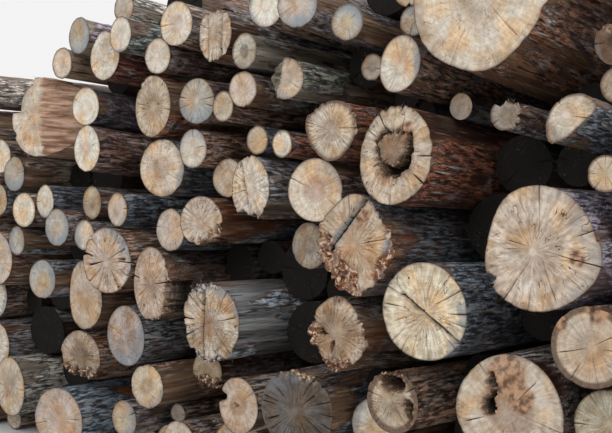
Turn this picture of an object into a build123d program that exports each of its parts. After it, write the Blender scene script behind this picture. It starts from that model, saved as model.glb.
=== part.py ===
from build123d import *
import os
from collections import defaultdict
from math import cos, pi, radians, sin, tan

import numpy as np

# A stack of round logs cut to one length, lying side by side with their ends to the front.
# The logs run along Y, the front ends face -Y, and the floor is Z = 0.

log_length = 3000          # the length that such roundwood is cut to
taper_per_metre = 6        # how much a log's radius shrinks in each metre away from its butt
butt_swell_length = 600    # how far the uneven outline of a butt reaches before the log is round
seat_clearance = 0.6       # room left between a log and what it rests on
side_facets = 24           # flat sides round a log of 300 mm across
core_facets = 14           # flat sides of a log whose end lies hidden behind the front rows
hidden_depth = 100         # an end that lies at least this far back is hidden
saw_slack = 6              # how many degrees off square a rough saw cut may be
proud = 80                 # how far a cutting tool starts in front of the end

# Sizes of the worked and damaged ends
step_depth = 55            # how far the felling cut's upper plate lies behind its lower face
tear_length = 330          # how far the torn flank runs back along the torn butt
rot_ring_depth = 80        # depth of the rotten ring
heart_hole_depth = 260     # depth of the hollow heart
pocket_depth = 130         # depth of the smaller rot pockets
bore_hole_width = 22       # width of the beetle holes
split_gap = 9              # width of an open split
split_depth = 160          # how far a split runs into the end
fine_end = 0.3             # width of a split's far end, as a share of its near end
notch_depth = 70           # depth of a chipped corner
ragged_depth = 110         # how far a ragged edge is eaten back
hollow_sides = 9           # flat sides of a rotten hollow

# How the heap comes together
settle_steps = 240         # steps in which it does
place_hold = 0.04          # how strongly a front log keeps its place in each step, and a core
core_hold = 0.01
core_give = 12             # how much more readily a core moves than a front log
push_share = 0.6           # share of an overlap that one step takes away
growth_share = 0.2         # share of the room round a core that it grows into in one step, and the most
growth_step = 1
growth_limit = 0.3         # share of its radius by which a core may grow or shrink
neighbour_room = 120       # logs further apart than this aren't neighbours
roll_limit = 2             # how far a log may roll sideways into the groove under it


# Outlines: each gives the share of the radius at angle t, measured from +X towards +Z


def rounded(t):
    return 1 + 0.015 * cos(2 * t + 0.7) + 0.01 * cos(3 * t + 2)


def oval_upright(t):
    return 1 - 0.05 * cos(2 * t) + 0.01 * cos(3 * t)


def oval_leaning(t):
    return 1 - 0.06 * cos(2 * t + 0.9) + 0.015 * cos(3 * t + 1)


def pear(t):
    return 0.95 + 0.13 * max(0.0, sin(t)) ** 3 - 0.13 * abs(cos(t)) * max(0.0, sin(t)) + 0.05 * max(0.0, -sin(t))


def waisted(t):
    return 0.97 - 0.14 * cos(2 * t - 0.25) + 0.04 * cos(3 * t + 0.6)


def shield(t):
    return 0.98 + 0.07 * cos(3 * (t + pi / 2)) + 0.03 * cos(2 * t)


def squared(t):
    return 0.97 + 0.06 * cos(4 * (t - 1.5)) - 0.03 * cos(2 * t)


def three_lobed(t):
    return 0.97 + 0.045 * cos(3 * t + 0.9) + 0.02 * cos(5 * t + 1.1)


def two_lobed(t):
    return 0.97 - 0.07 * cos(2 * t - 0.5) + 0.03 * cos(3 * t - 1.0)


def root_flared(t):
    return 0.96 + 0.03 * cos(2 * t - 0.35) + 0.03 * cos(3 * t - 1.4) + 0.02 * cos(5 * t + 0.4)


def flat_bottomed(t):
    return 0.98 + 0.04 * cos(2 * t + 0.15) - 0.03 * cos(3 * t - 0.9)


def split_half(t):
    return min(1.0, 0.08 / max(0.08, cos(t + 0.9)))


# Logs that stand out by their shape, each in a piece of its own: name, across, up, diameter and
# how far the end stands out, all in mm, the turn of its cut in degrees, then the outline of its butt
notable_logs = [
    ("torn_butt_log", -1905, 1940, 490, 110, 0, root_flared),
    ("ring_rot_log", 575, 1510, 392, 160, -4, oval_leaning),
    ("great_butt_log", 960, 2100, 610, 170, 0, root_flared),
    ("widest_butt_log", 1205, 1215, 474, 170, 0, three_lobed),
    ("hollow_heart_log", 1075, 600, 440, 140, 0, flat_bottomed),
    ("slabbed_log", 375, 1170, 420, 160, 3, squared),
    ("star_checked_log", 720, 930, 392, 160, 0, rounded),
    ("rotten_pocket_log", 275, 790, 324, 140, 6, squared),
    ("hollow_rim_log", 540, 545, 268, 120, -4, rounded),
    ("grey_weathered_log", 30, 450, 372, 100, 8, rounded),
    ("two_lobed_log", -480, 800, 396, 130, 4, two_lobed),
    ("deep_checked_log", -1270, 1110, 354, 110, 6, rounded),
    ("torn_side_log", -930, 985, 366, 100, -9, oval_upright),
    ("ring_shake_log", -905, 1860, 302, 110, -3, oval_upright),
    ("shield_log", 240, 1712, 276, 130, 3, shield),
    ("scalloped_log", 575, 2220, 198, 20, 0, rounded),
    ("split_half_log", 1360, 1655, 230, 190, 0, split_half),
    ("splintered_log", -450, 2182, 268, 130, -7, oval_upright),
    ("broken_end_log", -265, 1440, 300, 90, -9, oval_upright),
    ("rot_flank_log", -575, 1278, 250, 100, 10, rounded),
    ("ragged_bottom_log", -1585, 580, 300, 40, 9, rounded),
    ("pear_log", -1350, 2200, 268, 60, 0, pear),
    ("waisted_log", -1548, 905, 350, 40, 0, waisted),
    ("notched_log", -342, 415, 262, 90, 2, oval_upright),
    ("brown_rimmed_log", 1400, 865, 290, 180, 0, rounded),
    ("stepped_log", -8, 1925, 190, 140, 10, rounded),
    ("ragged_plate_log", -645, 555, 208, -10, 0, rounded),
    ("blue_rimmed_log", 565, 1900, 228, 100, -5, oval_leaning),
    ("pale_round_log", -887, 1565, 300, 70, 6, rounded),
    ("strip_barked_log", -1728, 185, 358, 90, 10, rounded),
]

# The rest, each row of neighbours in one piece: across, up, diameter and how far the end stands out
plain_rows = {
    "floor_left_logs": [(-2990, 170, 340, 0), (-2690, 130, 260, -60), (-2387, 68, 136, -70), (-2050, 115, 228, -150)],
    "floor_middle_logs": [(-1400, 130, 258, -150), (-1180, 82, 162, -100), (-960, 115, 230, -60),
                          (-754, 230, 220, 70), (-590, 395, 170, -180), (-840, 690, 250, -200)],
    "floor_inner_logs": [(-500, 163, 326, -60), (-180, 160, 320, -80), (150, 140, 280, -100), (450, 155, 310, -80)],
    "floor_right_logs": [(790, 150, 300, -40), (1095, 152, 304, 0), (1395, 148, 296, 60), (1700, 156, 312, 20),
                         (2010, 150, 300, -40)],
    "left_foot_logs": [(-2290, 298, 362, 30), (-2560, 470, 300, -40), (-2850, 440, 300, 30),
                       (-1980, 420, 300, -220), (-2210, 620, 300, -180), (-1862, 725, 330, -260)],
    "second_middle_logs": [(-1129, 272, 196, 110), (-951, 470, 232, 110), (-1320, 440, 300, -240),
                           (-955, 291, 122, -100), (-1150, 520, 120, -200), (-1175, 755, 324, 60)],
    "under_hollow_logs": [(340, 380, 246, -60), (770, 430, 250, -160), (740, 645, 176, -260), (245, 568, 130, -200)],
    "right_foot_logs": [(1300, 380, 188, -60), (1580, 385, 206, 0), (1842, 410, 300, 60), (1442, 574, 270, 110),
                        (1710, 690, 300, 40)],
    "right_slope_logs": [(1675, 990, 300, 80), (1590, 1280, 300, 60), (1612, 1620, 290, 0)],
    "right_top_logs": [(1600, 1880, 200, 0), (1380, 2170, 240, 20), (1422, 1960, 180, 10)],
    "left_slope_logs": [(-2900, 720, 310, 60), (-2610, 790, 300, -60), (-2840, 1030, 300, 30)],
    "left_edge_logs": [(-2384, 1062, 340, 70), (-2370, 800, 180, -200), (-2660, 1250, 300, 0), (-2750, 1545, 290, 40),
                       (-2100, 900, 300, -200)],
    "left_upper_logs": [(-2640, 1830, 300, 30), (-2556, 2107, 226, 20), (-2320, 1990, 300, -160),
                        (-2371, 1732, 218, 40), (-2410, 1496, 200, 20), (-2190, 1625, 214, 60)],
    "left_small_logs": [(-2080, 1405, 210, 66), (-1889, 1450, 198, 60), (-1990, 1610, 178, -260),
                        (-2280, 1330, 210, -240)],
    "blue_grey_logs": [(-2150, 1185, 178, 70), (-1852, 1047, 226, 100), (-1930, 1250, 210, -200)],
    "ochre_logs": [(-1709, 1298, 214, 100), (-1532, 1240, 174, 60), (-1537, 1449, 190, 0), (-1720, 1600, 250, -250),
                   (-1540, 1118, 78, -240), (-1710, 1120, 110, -240)],
    "dark_barked_logs": [(-1525, 1946, 218, 50), (-1475, 1680, 262, 80), (-1260, 1920, 300, -260)],
    "upper_left_logs": [(-1722, 2220, 182, 60), (-1592, 2404, 210, 45), (-1560, 2140, 168, -200)],
    "top_left_logs": [(-1148, 2295, 194, 120), (-1216, 2490, 160, 40), (-1080, 2100, 208, -240)],
    "pinkish_logs": [(-1247, 1375, 186, 60), (-1190, 1620, 300, -260), (-1040, 1330, 236, -220),
                     (-816, 1285, 220, 80), (-500, 1479, 196, -10), (-680, 1460, 164, -220)],
    "upper_middle_logs": [(-876, 2091, 186, 110), (-717, 2262, 228, 130), (-930, 2430, 240, -120)],
    "stained_logs": [(-602, 1907, 228, 100), (-418, 1803, 150, 110), (-639, 1698, 198, 90), (-400, 1640, 176, -240),
                     (-440, 1978, 124, -220)],
    "little_logs": [(-274, 1924, 170, 130), (-231, 1652, 138, 80), (-54, 1627, 130, 110), (-130, 1785, 208, -260)],
    "top_middle_logs": [(-245, 2123, 170, 150), (-104, 2254, 210, 150), (103, 2225, 222, 190), (-300, 2420, 290, -120)],
    "upper_right_logs": [(307, 2137, 162, 110), (328, 1968, 122, -40), (395, 1845, 130, -200),
                         (170, 2010, 204, -220), (330, 2370, 300, -150), (601, 2077, 130, 50),
                         (485, 1755, 116, -220), (315, 1530, 130, -220)],
    "heartwood_logs": [(129, 1407, 286, 100), (69, 1176, 212, 60), (-110, 1260, 176, -240), (-70, 1505, 112, -200)],
    "centre_hidden_logs": [(-650, 1060, 210, -240), (-450, 1100, 174, -260), (-220, 1040, 300, -240),
                           (40, 960, 224, -220), (-130, 750, 300, -200)],
    "recessed_logs": [(707, 1731, 140, -120), (910, 1530, 258, -280), (1032, 1681, 132, 90), (1180, 1570, 240, -240),
                      (820, 1260, 300, -260), (1015, 925, 236, -240)],
    "right_edge_logs": [(1450, 1477, 132, 170), (1422, 1785, 136, 20), (1240, 1790, 216, -220)],
}


class Log:
    """One log: where it lies, its width at the front end and the shape of its outline."""

    def __init__(self, node, across, up, width, out, turn, outline, butt_forward=True):
        self.node = node
        self.across, self.up, self.width, self.out, self.turn = across, up, width, out, turn
        self.front = -out
        self.outline = outline
        self.shrink = taper_per_metre / 1000 * (1 if butt_forward else -1)
        self.sides = int(max(16, min(32, round(side_facets * (width / 300) ** 0.5 / 2) * 2)))
        if out <= -hidden_depth:
            self.sides = core_facets
        self.angles = [2 * pi * i / self.sides for i in range(self.sides)]
        self.even = outline in (rounded, split_half)

    def stations(self):
        """Distances from the front end at which the outline is drawn."""
        if self.even:
            return [0, log_length]
        return [0, butt_swell_length, log_length]

    def ring(self, along):
        """Corners of the outline at one station, measured from the log's axis."""
        base = self.width / 2 - self.shrink * along
        shape = self.outline if along == 0 or self.even else rounded
        return [(base * shape(t) * cos(t), base * shape(t) * sin(t)) for t in self.angles]


def all_logs():
    logs = [Log(name, *rest) for name, *rest in notable_logs]
    for node, row in plain_rows.items():
        for place in row:
            turn = saw_slack * sin(2.4 * len(logs))
            logs.append(Log(node, *place, turn, rounded, butt_forward=len(logs) % 3 != 0))
    return logs


# The heap. Each log has two free ends, at y = 0 and y = log_length. Widths are measured along
# a fan of directions, so that outlines which aren't round meet exactly too.

directions = 72
fan = np.array([(cos(2 * pi * k / directions), sin(2 * pi * k / directions)) for k in range(directions)])
slices = np.concatenate([np.arange(-500.0, 800, 100), np.arange(1000, log_length + 501, 250)])
contact_stations = np.array([0, 0.05, 0.1, 0.15, 0.2, 0.25, 0.35, 0.55, 0.8, 1])
contact_angles = np.radians(np.arange(-33, 34, 1.5))
fall_steps = (8, 3, 1, 0.3, 0.1, 0.03)   # ever smaller steps in which a log comes down into its groove
deepest_fall = 200         # how far at most a log comes down
end_margin = 100           # how far past its ends a log still holds others off
widest_ground_gap = 40     # logs on the ground with more room than this between them stay apart


def outline_at(log, along):
    """Corners of a log's outline at each of some distances from its front end."""
    rings = np.array([log.ring(station) for station in (0, butt_swell_length, log_length)])
    along = np.clip(along, 0, log_length)
    swell = np.clip(along / butt_swell_length, 0, 1)[..., None, None]
    rest = np.clip((along - butt_swell_length) / (log_length - butt_swell_length), 0, 1)[..., None, None]
    if log.even:
        return rings[0] + (rings[2] - rings[0]) * along[..., None, None] / log_length
    return rings[0] + (rings[1] - rings[0]) * swell + (rings[2] - rings[1]) * rest


def reach_table(logs):
    """How far each log reaches from its axis, at each slice and in each direction."""
    table = np.full((len(logs), len(slices), directions), -1e4)
    for i, log in enumerate(logs):
        along = slices + log.out
        there = (along > -end_margin) & (along < log_length + 2.5 * end_margin)
        reach = (outline_at(log, along) @ fan.T).max(axis=1)
        table[i, there] = reach[there]
    return table


def gaps(table, ends, first, second):
    """Gap between two lists of logs at each slice, and the direction in which it is widest."""
    share = slices / log_length
    centres = ends[:, None, 0] * (1 - share)[:, None] + ends[:, None, 1] * share[:, None]
    apart = centres[second] - centres[first]
    opposite = np.roll(table, directions // 2, axis=2)
    room = apart @ fan.T - table[first] - opposite[second]
    widest = room.argmax(axis=2)
    return np.take_along_axis(room, widest[:, :, None], axis=2)[:, :, 0], widest


def settle(logs):
    """Push overlapping logs apart, hold each near its place, and let the cores fill the gaps."""
    table = reach_table(logs)
    wanted = np.array([(log.across, log.up) for log in logs], float)
    ends = np.stack([wanted, wanted], axis=1)
    half = np.array([log.width / 2 for log in logs])
    core = np.array([log.out <= -hidden_depth for log in logs])
    grown = np.zeros(len(logs))
    first, second = np.triu_indices(len(logs), 1)
    distance = np.hypot(*(wanted[first] - wanted[second]).T)
    near = distance < half[first] + half[second] + neighbour_room
    first, second = first[near], second[near]
    give = np.where(core, core_give, 1.0)
    first_share = (give[first] / (give[first] + give[second]))[:, None, None]
    hold = np.where(core, core_hold, place_hold)[:, None, None]
    rows = np.arange(len(first))
    down = 3 * directions // 4
    for step in range(settle_steps):
        ends += hold * (wanted[:, None] - ends)
        room, widest = gaps(table, ends, first, second)
        worst = room.argmin(axis=1)
        tightest = room[rows, worst]
        push = np.maximum(0, seat_clearance - tightest)
        way = fan[widest[rows, worst]]
        share = np.clip(slices[worst] / log_length, 0, 1)
        weight = np.stack([1 - share, share], axis=1)
        weight /= (weight ** 2).sum(axis=1)[:, None]
        move = push_share * push[:, None, None] * weight[:, :, None] * way[:, None]
        np.add.at(ends, first, -move * first_share)
        np.add.at(ends, second, move * (1 - first_share))
        least = np.full(len(logs), 1e4)
        np.minimum.at(least, first, tightest)
        np.minimum.at(least, second, tightest)
        for e, y in enumerate((0, log_length)):
            k = np.abs(slices - y).argmin()
            low = ends[:, e, 1] - table[:, k, down]
            ends[:, e, 1] += np.maximum(0, -low)
        change = np.where(core, np.clip(growth_share * (least - seat_clearance), -growth_step, growth_step), 0)
        change = np.clip(grown + change, -growth_limit * half, growth_limit * half) - grown
        grown += change
        table += change[:, None, None]
    for log, more in zip(logs, grown):
        log.width += 2 * more
    return seat(logs, ends)


def clearances(log, place, others, places):
    """Room between a log and each of its neighbours at some stations, and which way it lies."""
    front = np.array([max(-log.out, -other.out) for other in others])
    back = np.array([min(-log.out, -other.out) for other in others]) + log_length
    y = front[:, None] + (back - front)[:, None] * contact_stations
    share = (y / log_length)[..., None]
    centre = place[0] * (1 - share) + place[1] * share
    other_centre = places[:, None, 0] * (1 - share) + places[:, None, 1] * share
    apart = other_centre - centre
    angle = np.arctan2(apart[..., 1], apart[..., 0])[..., None] + contact_angles
    way = np.stack([np.cos(angle), np.sin(angle)], axis=-1)
    reach = (way @ outline_at(log, y + log.out).swapaxes(-1, -2)).max(axis=-1)
    opposite = np.empty_like(reach)
    for k, other in enumerate(others):
        opposite[k] = -(way[k] @ outline_at(other, y[k] + other.out).swapaxes(-1, -2)).min(axis=-1)
    room = (apart[..., None, :] * way).sum(axis=-1) - reach - opposite
    best = room.argmax(axis=-1)[..., None]
    room = np.take_along_axis(room, best, axis=-1)[..., 0]
    way = np.take_along_axis(way, best[..., None], axis=-2)[..., 0, :]
    return room, way, share[..., 0]


def seat(logs, ends):
    """Lay the logs one by one, the lowest first, each in the groove between those under it."""
    laid = []
    for i in np.argsort(ends[:, :, 1].mean(axis=1), kind="stable"):
        log = logs[i]
        wanted = ends[i].copy()
        apart = np.abs(ends - wanted).mean(axis=1)
        near = [j for j in laid if apart[j, 0] < (log.width + logs[j].width) / 2 + widest_ground_gap
                and apart[j, 1] < (log.width + logs[j].width) / 2 + deepest_fall]
        others = [logs[j] for j in near]
        places = ends[near]
        feet = [-np.array(log.ring(station))[:, 1].min() for station in (0, log_length)]
        place = wanted.copy()
        for fall in fall_steps:
            for _ in range(int(deepest_fall / fall_steps[0])):
                height = place[:, 1].sum()
                place[:, 1] -= fall
                for _ in range(4):
                    place[:, 1] = np.maximum(place[:, 1], feet)
                    if others:
                        push_clear(log, place, wanted, others, places)
                if height - place[:, 1].sum() < fall / 4:
                    break
        place[:, 1] = np.maximum(place[:, 1], feet)
        if others and (place[:, 1] - feet).min() < 10 * seat_clearance:
            close_up(log, place, others, places)
        while others and clearances(log, place, others, places)[0].min() < seat_clearance / 2:
            place[:, 1] += seat_clearance
        ends[i] = place
        laid.append(i)
    return ends


def close_up(log, place, others, places):
    """Slide a log that lies on the ground against its nearest neighbour."""
    for _ in range(4):
        room, way, _ = clearances(log, place, others, places)
        k = np.unravel_index(room.argmin(), room.shape)
        if seat_clearance < room[k] < widest_ground_gap:
            place[:, 0] += (room[k] - seat_clearance) * np.sign(way[k][0])


def push_clear(log, place, wanted, others, places):
    """Move a log out of the neighbour that it presses on most at each half of its length."""
    room, way, share = clearances(log, place, others, places)
    for half in (share < 0.5, share >= 0.5):
        depth = np.where(half, seat_clearance - room, 0)
        k = np.unravel_index(depth.argmax(), depth.shape)
        if depth[k] <= 0:
            continue
        at = float(min(max(share[k], 0.0), 1.0))
        weight = np.array([1 - at, at])
        weight = weight / (weight @ weight)
        aside = place[:, 0] - depth[k] * weight * way[k][0]
        if np.abs(aside - wanted[:, 0]).max() < roll_limit:
            place -= depth[k] * weight[:, None] * way[k]
        else:
            place[:, 1] += depth[k] * weight / max(0.25, -way[k][1])


# Solids


def front_centre(log):
    """The middle of a log's front end."""
    return log.start + (log.finish - log.start) * (-log.out / log_length)


def rim_points(log, along, slope):
    """Corners of the outline at one station, on a cut that is slope off square."""
    axis = (log.finish - log.start) / log_length
    centre = log.start + axis * (along - log.out)
    points = []
    for dx, dz in log.ring(along):
        narrowing = log.shrink / (log.width / 2 - log.shrink * along)
        run_x, run_z = axis[0] - narrowing * dx, axis[1] - narrowing * dz
        lean = slope * dx / (1 - slope * run_x)
        points.append(Vector(centre[0] + dx + run_x * lean, log.front + along + lean, centre[1] + dz + run_z * lean))
    return points


def rings_of(log):
    """The outlines that a log's solid is drawn through: a slanting saw cut in front, then square ones."""
    stations = log.stations()
    slopes = [tan(radians(log.turn))] + [0] * (len(stations) - 1)
    return [rim_points(log, station, slope) for station, slope in zip(stations, slopes)]


def flat_face(*corners):
    return Face(Wire.make_polygon(corners, close=True))


def sides_between(first, second, twisted):
    """Flat faces round the trunk between two outlines, folded inwards in two where they twist."""
    centre = sum(first + second, Vector(0, 0, 0)) / (2 * len(first))
    faces = []
    for k in range(len(first)):
        a, b, c, d = first[k - 1], first[k], second[k], second[k - 1]
        if not twisted:
            faces.append(flat_face(a, b, c, d))
        elif ((a + c) / 2 - centre).length < ((b + d) / 2 - centre).length:
            faces += [flat_face(a, b, c), flat_face(a, c, d)]
        else:
            faces += [flat_face(a, b, d), flat_face(b, c, d)]
    return faces


def log_solid(log):
    """The whole log, from its front cut to its back cut."""
    rings = rings_of(log)
    faces = [flat_face(*rings[0]), flat_face(*rings[-1])]
    for first, second in zip(rings, rings[1:]):
        faces += sides_between(first, second, twisted=not log.even and first is rings[0])
    return Solid(Shell(faces))


def sunk(log, sketch, depth):
    """A tool that cuts a sketch, drawn in radii of the log, into its front end."""
    centre = front_centre(log)
    plane = Plane(origin=(centre[0], log.front - proud, centre[1]), x_dir=(1, 0, 0), z_dir=(0, -1, 0))
    return extrude(plane * scale(sketch, log.width / 2), amount=-(proud + depth))


def patch(*corners):
    return make_face(Polyline(*corners, close=True))


def hollow(x, y, wide, high):
    """The uneven mouth of a rotten hole, wide and high measured from its middle."""
    corners = []
    for k in range(hollow_sides):
        t = 2 * pi * k / hollow_sides
        reach = 1 + 0.14 * sin(2.3 * k + 9 * x)
        corners.append((x + wide * reach * cos(t), y + high * reach * sin(t)))
    return patch(*corners)


def slit(log, start, end):
    """A narrow straight split, wide at its start and fine at its end."""
    run_x, run_y = end[0] - start[0], end[1] - start[1]
    length = (run_x ** 2 + run_y ** 2) ** 0.5
    x, y = -run_y / length * split_gap / log.width, run_x / length * split_gap / log.width
    far_x, far_y = fine_end * x, fine_end * y
    return patch((start[0] - x, start[1] - y), (end[0] - far_x, end[1] - far_y),
                 (end[0] + far_x, end[1] + far_y), (start[0] + x, start[1] + y))


def torn_butt(log):
    r = log.width / 2
    centre = front_centre(log)
    plate = sunk(log, patch((-1.3, 0.15), (-0.55, 0.05), (-0.3, 0.18), (0.15, 1.3), (-1.3, 1.3)), step_depth)
    y = log.front
    flank = patch((0.05 * r, y - proud), (0.05 * r, y), (1.15 * r, y + tear_length), (1.4 * r, y + tear_length),
                  (1.4 * r, y - proud))
    flank = extrude(Pos(centre[0], 0, centre[1] - 1.4 * r) * flank, amount=2.8 * r)
    return [plate, flank]


def ring_rot(log):
    ring = hollow(-0.02, 0.08, 0.54, 0.52) - hollow(-0.07, 0.16, 0.36, 0.35)
    return [sunk(log, ring, rot_ring_depth)]


def hollow_heart(log):
    hole = hollow(-0.31, 0.42, 0.15, 0.21)
    rot = hollow(-0.36, 0.05, 0.16, 0.2)
    return [sunk(log, hole, heart_hole_depth), sunk(log, rot, pocket_depth / 2)]


def hollow_rim(log):
    upper = hollow(0.02, 0.52, 0.52, 0.28)
    right = hollow(0.6, -0.18, 0.22, 0.36)
    return [sunk(log, upper, heart_hole_depth), sunk(log, right, pocket_depth)]


def rot_pockets(log):
    holes = [hollow(-0.42, 0.08, 0.13, 0.13), hollow(-0.12, -0.27, 0.12, 0.17)]
    eaten = patch((-1.3, -0.3), (-0.6, -0.3), (-0.45, -0.7), (-0.2, -0.85), (-0.1, -1.3), (-1.3, -1.3))
    return [sunk(log, hole, pocket_depth) for hole in holes] + [sunk(log, eaten, ragged_depth)]


def lobe_split(log):
    return [sunk(log, slit(log, (-0.2, 1.1), (-0.28, -0.85)), split_depth)]


def slab_split(log):
    seam = slit(log, (0.45, 1.1), (-0.62, -0.1))
    chip = patch((-1.3, -0.55), (-0.75, -0.5), (-0.6, -0.72), (-0.62, -1.3), (-1.3, -1.3))
    return [sunk(log, seam, split_depth), sunk(log, chip, ragged_depth)]


def star_checks(log):
    return [sunk(log, slit(log, (0.95, -0.68), (-0.5, 0.3)), split_depth)]


def deep_checks(log):
    ends = [(-1.02, 0.35), (0.2, 1.03), (0.98, 0.1), (0.72, -0.72), (-0.5, -0.92)]
    return [sunk(log, slit(log, end, (0.05, 0.0)), split_depth) for end in ends]


def corner_notch(log):
    return [sunk(log, patch((-1.3, -0.28), (-0.72, -0.4), (-0.78, -0.6), (-1.3, -0.75)), notch_depth)]


def beetle_holes(log):
    reach = bore_hole_width / log.width
    return [sunk(log, hollow(x, y, reach, reach), pocket_depth) for x, y in ((-0.24, 0.04), (0.32, 0.03))]


def scallops(log):
    teeth = []
    for k in range(6):
        t = radians(-88 + 16 * k)
        teeth.append(sunk(log, hollow(1.02 * cos(t), 1.02 * sin(t), 0.13, 0.13), notch_depth))
    return teeth


def splinters(log):
    gap = patch((-0.45, 1.2), (-0.42, 0.72), (0.1, 0.8), (0.3, 0.74), (0.3, 1.2))
    splits = [slit(log, (-0.4, 1.1), (-0.46, -0.85)), slit(log, (0.38, 1.1), (0.3, -0.75))]
    return [sunk(log, gap, notch_depth)] + [sunk(log, split, split_depth) for split in splits]


def broken_corner(log):
    eaten = patch((-0.75, -0.75), (-0.3, -0.62), (0.0, -0.86), (0.3, -0.7), (0.55, -1.3), (-0.75, -1.3))
    return [sunk(log, slit(log, (-0.45, 0.75), (-0.1, -0.65)), split_depth), sunk(log, eaten, notch_depth)]


def lower_flank(log):
    return [sunk(log, patch((-0.2, -0.92), (0.15, -0.75), (0.6, -0.66), (1.3, -0.6), (1.3, -1.3), (-0.2, -1.3)),
                 ragged_depth)]


def right_flank(log):
    return [sunk(log, patch((0.6, 0.1), (1.3, 0.2), (1.3, -0.9), (0.5, -0.72), (0.62, -0.3)), ragged_depth)]


def ragged_bottom(log):
    teeth = [(-1.3, -0.42), (-0.62, -0.5), (-0.42, -0.72), (-0.18, -0.3), (-0.02, -0.8), (0.18, -0.38), (0.4, -0.92),
             (0.58, -0.55), (1.3, -0.6), (1.3, -1.3), (-1.3, -1.3)]
    return [sunk(log, patch(*teeth), ragged_depth)]


def left_notch(log):
    notch = patch((-1.3, 0.05), (-0.62, 0.12), (-0.5, 0.3), (-0.85, 0.55), (-1.3, 0.6))
    return [sunk(log, notch, notch_depth), sunk(log, hollow(-0.1, 0, 0.1, 0.1), pocket_depth)]


def half_step(log):
    return [sunk(log, patch((-1.3, 1.3), (0.05, 1.3), (-0.6, -1.3), (-1.3, -1.3)), step_depth / 2)]


damage = {
    "torn_butt_log": torn_butt,
    "ring_rot_log": ring_rot,
    "hollow_heart_log": hollow_heart,
    "hollow_rim_log": hollow_rim,
    "rotten_pocket_log": rot_pockets,
    "two_lobed_log": lobe_split,
    "slabbed_log": slab_split,
    "star_checked_log": star_checks,
    "deep_checked_log": deep_checks,
    "widest_butt_log": corner_notch,
    "ring_shake_log": beetle_holes,
    "scalloped_log": scallops,
    "splintered_log": splinters,
    "broken_end_log": broken_corner,
    "rot_flank_log": lower_flank,
    "torn_side_log": right_flank,
    "ragged_bottom_log": ragged_bottom,
    "ragged_plate_log": ragged_bottom,
    "notched_log": left_notch,
    "stepped_log": half_step,
}


def shaped_log(log):
    solid = log_solid(log)
    for tool in damage.get(log.node, lambda _: [])(log):
        solid -= tool
    return solid.solids()[0]


logs = all_logs()
for log, (start, finish) in zip(logs, settle(logs)):
    log.start, log.finish = start, finish

# The origin is the middle of the heap's footprint, on the floor.
corners = np.array([tuple(point) for log in logs for ring in rings_of(log) for point in ring])
middle = (corners.min(axis=0) + corners.max(axis=0)) / 2
origin = np.array([middle[0], middle[1], corners[:, 2].min()])
for log in logs:
    log.start = log.start - origin[[0, 2]]
    log.finish = log.finish - origin[[0, 2]]
    log.front -= origin[1]

pieces = defaultdict(list)
for log in logs:
    pieces[log.node].append(shaped_log(log))

os.makedirs("parts", exist_ok=True)
for node, solids in pieces.items():
    export_step(Compound(children=solids), f"parts/{node}.step")
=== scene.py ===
import itertools
from math import cos, hypot, pi, radians, sin, tau

import bpy
import numpy as np
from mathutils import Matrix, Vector
from mathutils.bvhtree import BVHTree


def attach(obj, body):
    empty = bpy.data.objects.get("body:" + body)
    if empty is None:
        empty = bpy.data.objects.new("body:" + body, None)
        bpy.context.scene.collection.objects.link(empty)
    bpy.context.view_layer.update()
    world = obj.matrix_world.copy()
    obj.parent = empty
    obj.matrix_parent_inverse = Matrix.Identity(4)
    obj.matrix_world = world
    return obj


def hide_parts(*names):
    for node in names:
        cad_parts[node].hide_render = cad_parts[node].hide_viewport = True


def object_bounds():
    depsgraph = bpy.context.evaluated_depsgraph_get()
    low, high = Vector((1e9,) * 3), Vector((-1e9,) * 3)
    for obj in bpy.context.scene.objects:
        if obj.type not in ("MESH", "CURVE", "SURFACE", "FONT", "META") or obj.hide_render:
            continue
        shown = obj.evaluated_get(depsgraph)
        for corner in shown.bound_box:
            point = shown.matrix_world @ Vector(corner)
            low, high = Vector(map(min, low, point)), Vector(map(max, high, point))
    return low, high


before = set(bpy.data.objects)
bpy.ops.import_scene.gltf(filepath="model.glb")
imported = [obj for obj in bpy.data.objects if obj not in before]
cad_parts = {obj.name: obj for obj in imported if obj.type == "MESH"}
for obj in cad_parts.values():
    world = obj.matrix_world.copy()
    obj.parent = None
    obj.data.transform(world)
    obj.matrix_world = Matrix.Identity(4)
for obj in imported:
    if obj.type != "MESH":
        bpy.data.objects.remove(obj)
cad_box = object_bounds()
scene = bpy.context.scene


# The ground that the stack lies on, and the soft light over it. The logs lie along Y with their
# ends to the front, and the camera looks at those ends from the right, a little above the middle.

camera_at = (3.312, -4.852, 1.293)
camera_turn = radians(40.241)    # to the left of straight ahead
focal_length, film_width = 57.42, 36

camera_data = bpy.data.cameras.new("camera")
camera_data.lens = focal_length
camera_data.sensor_width = film_width
camera = bpy.data.objects.new("camera", camera_data)
camera.location = camera_at
camera.rotation_euler = (radians(90), 0, camera_turn)
scene.collection.objects.link(camera)
scene.camera = camera
scene.view_settings.view_transform = "Standard"


def pale_ground():
    material = bpy.data.materials.new("pale_ground")
    material.use_nodes = True
    nodes, links = material.node_tree.nodes, material.node_tree.links
    shader = nodes["Principled BSDF"]
    shader.inputs["Roughness"].default_value = 0.9
    speckle = nodes.new("ShaderNodeTexNoise")
    speckle.inputs["Scale"].default_value = 3
    shades = nodes.new("ShaderNodeValToRGB")
    shades.color_ramp.elements[0].color = (0.60, 0.59, 0.57, 1)
    shades.color_ramp.elements[1].color = (0.68, 0.67, 0.65, 1)
    links.new(speckle.outputs["Fac"], shades.inputs["Fac"])
    links.new(shades.outputs["Color"], shader.inputs["Base Color"])
    return material


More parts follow.
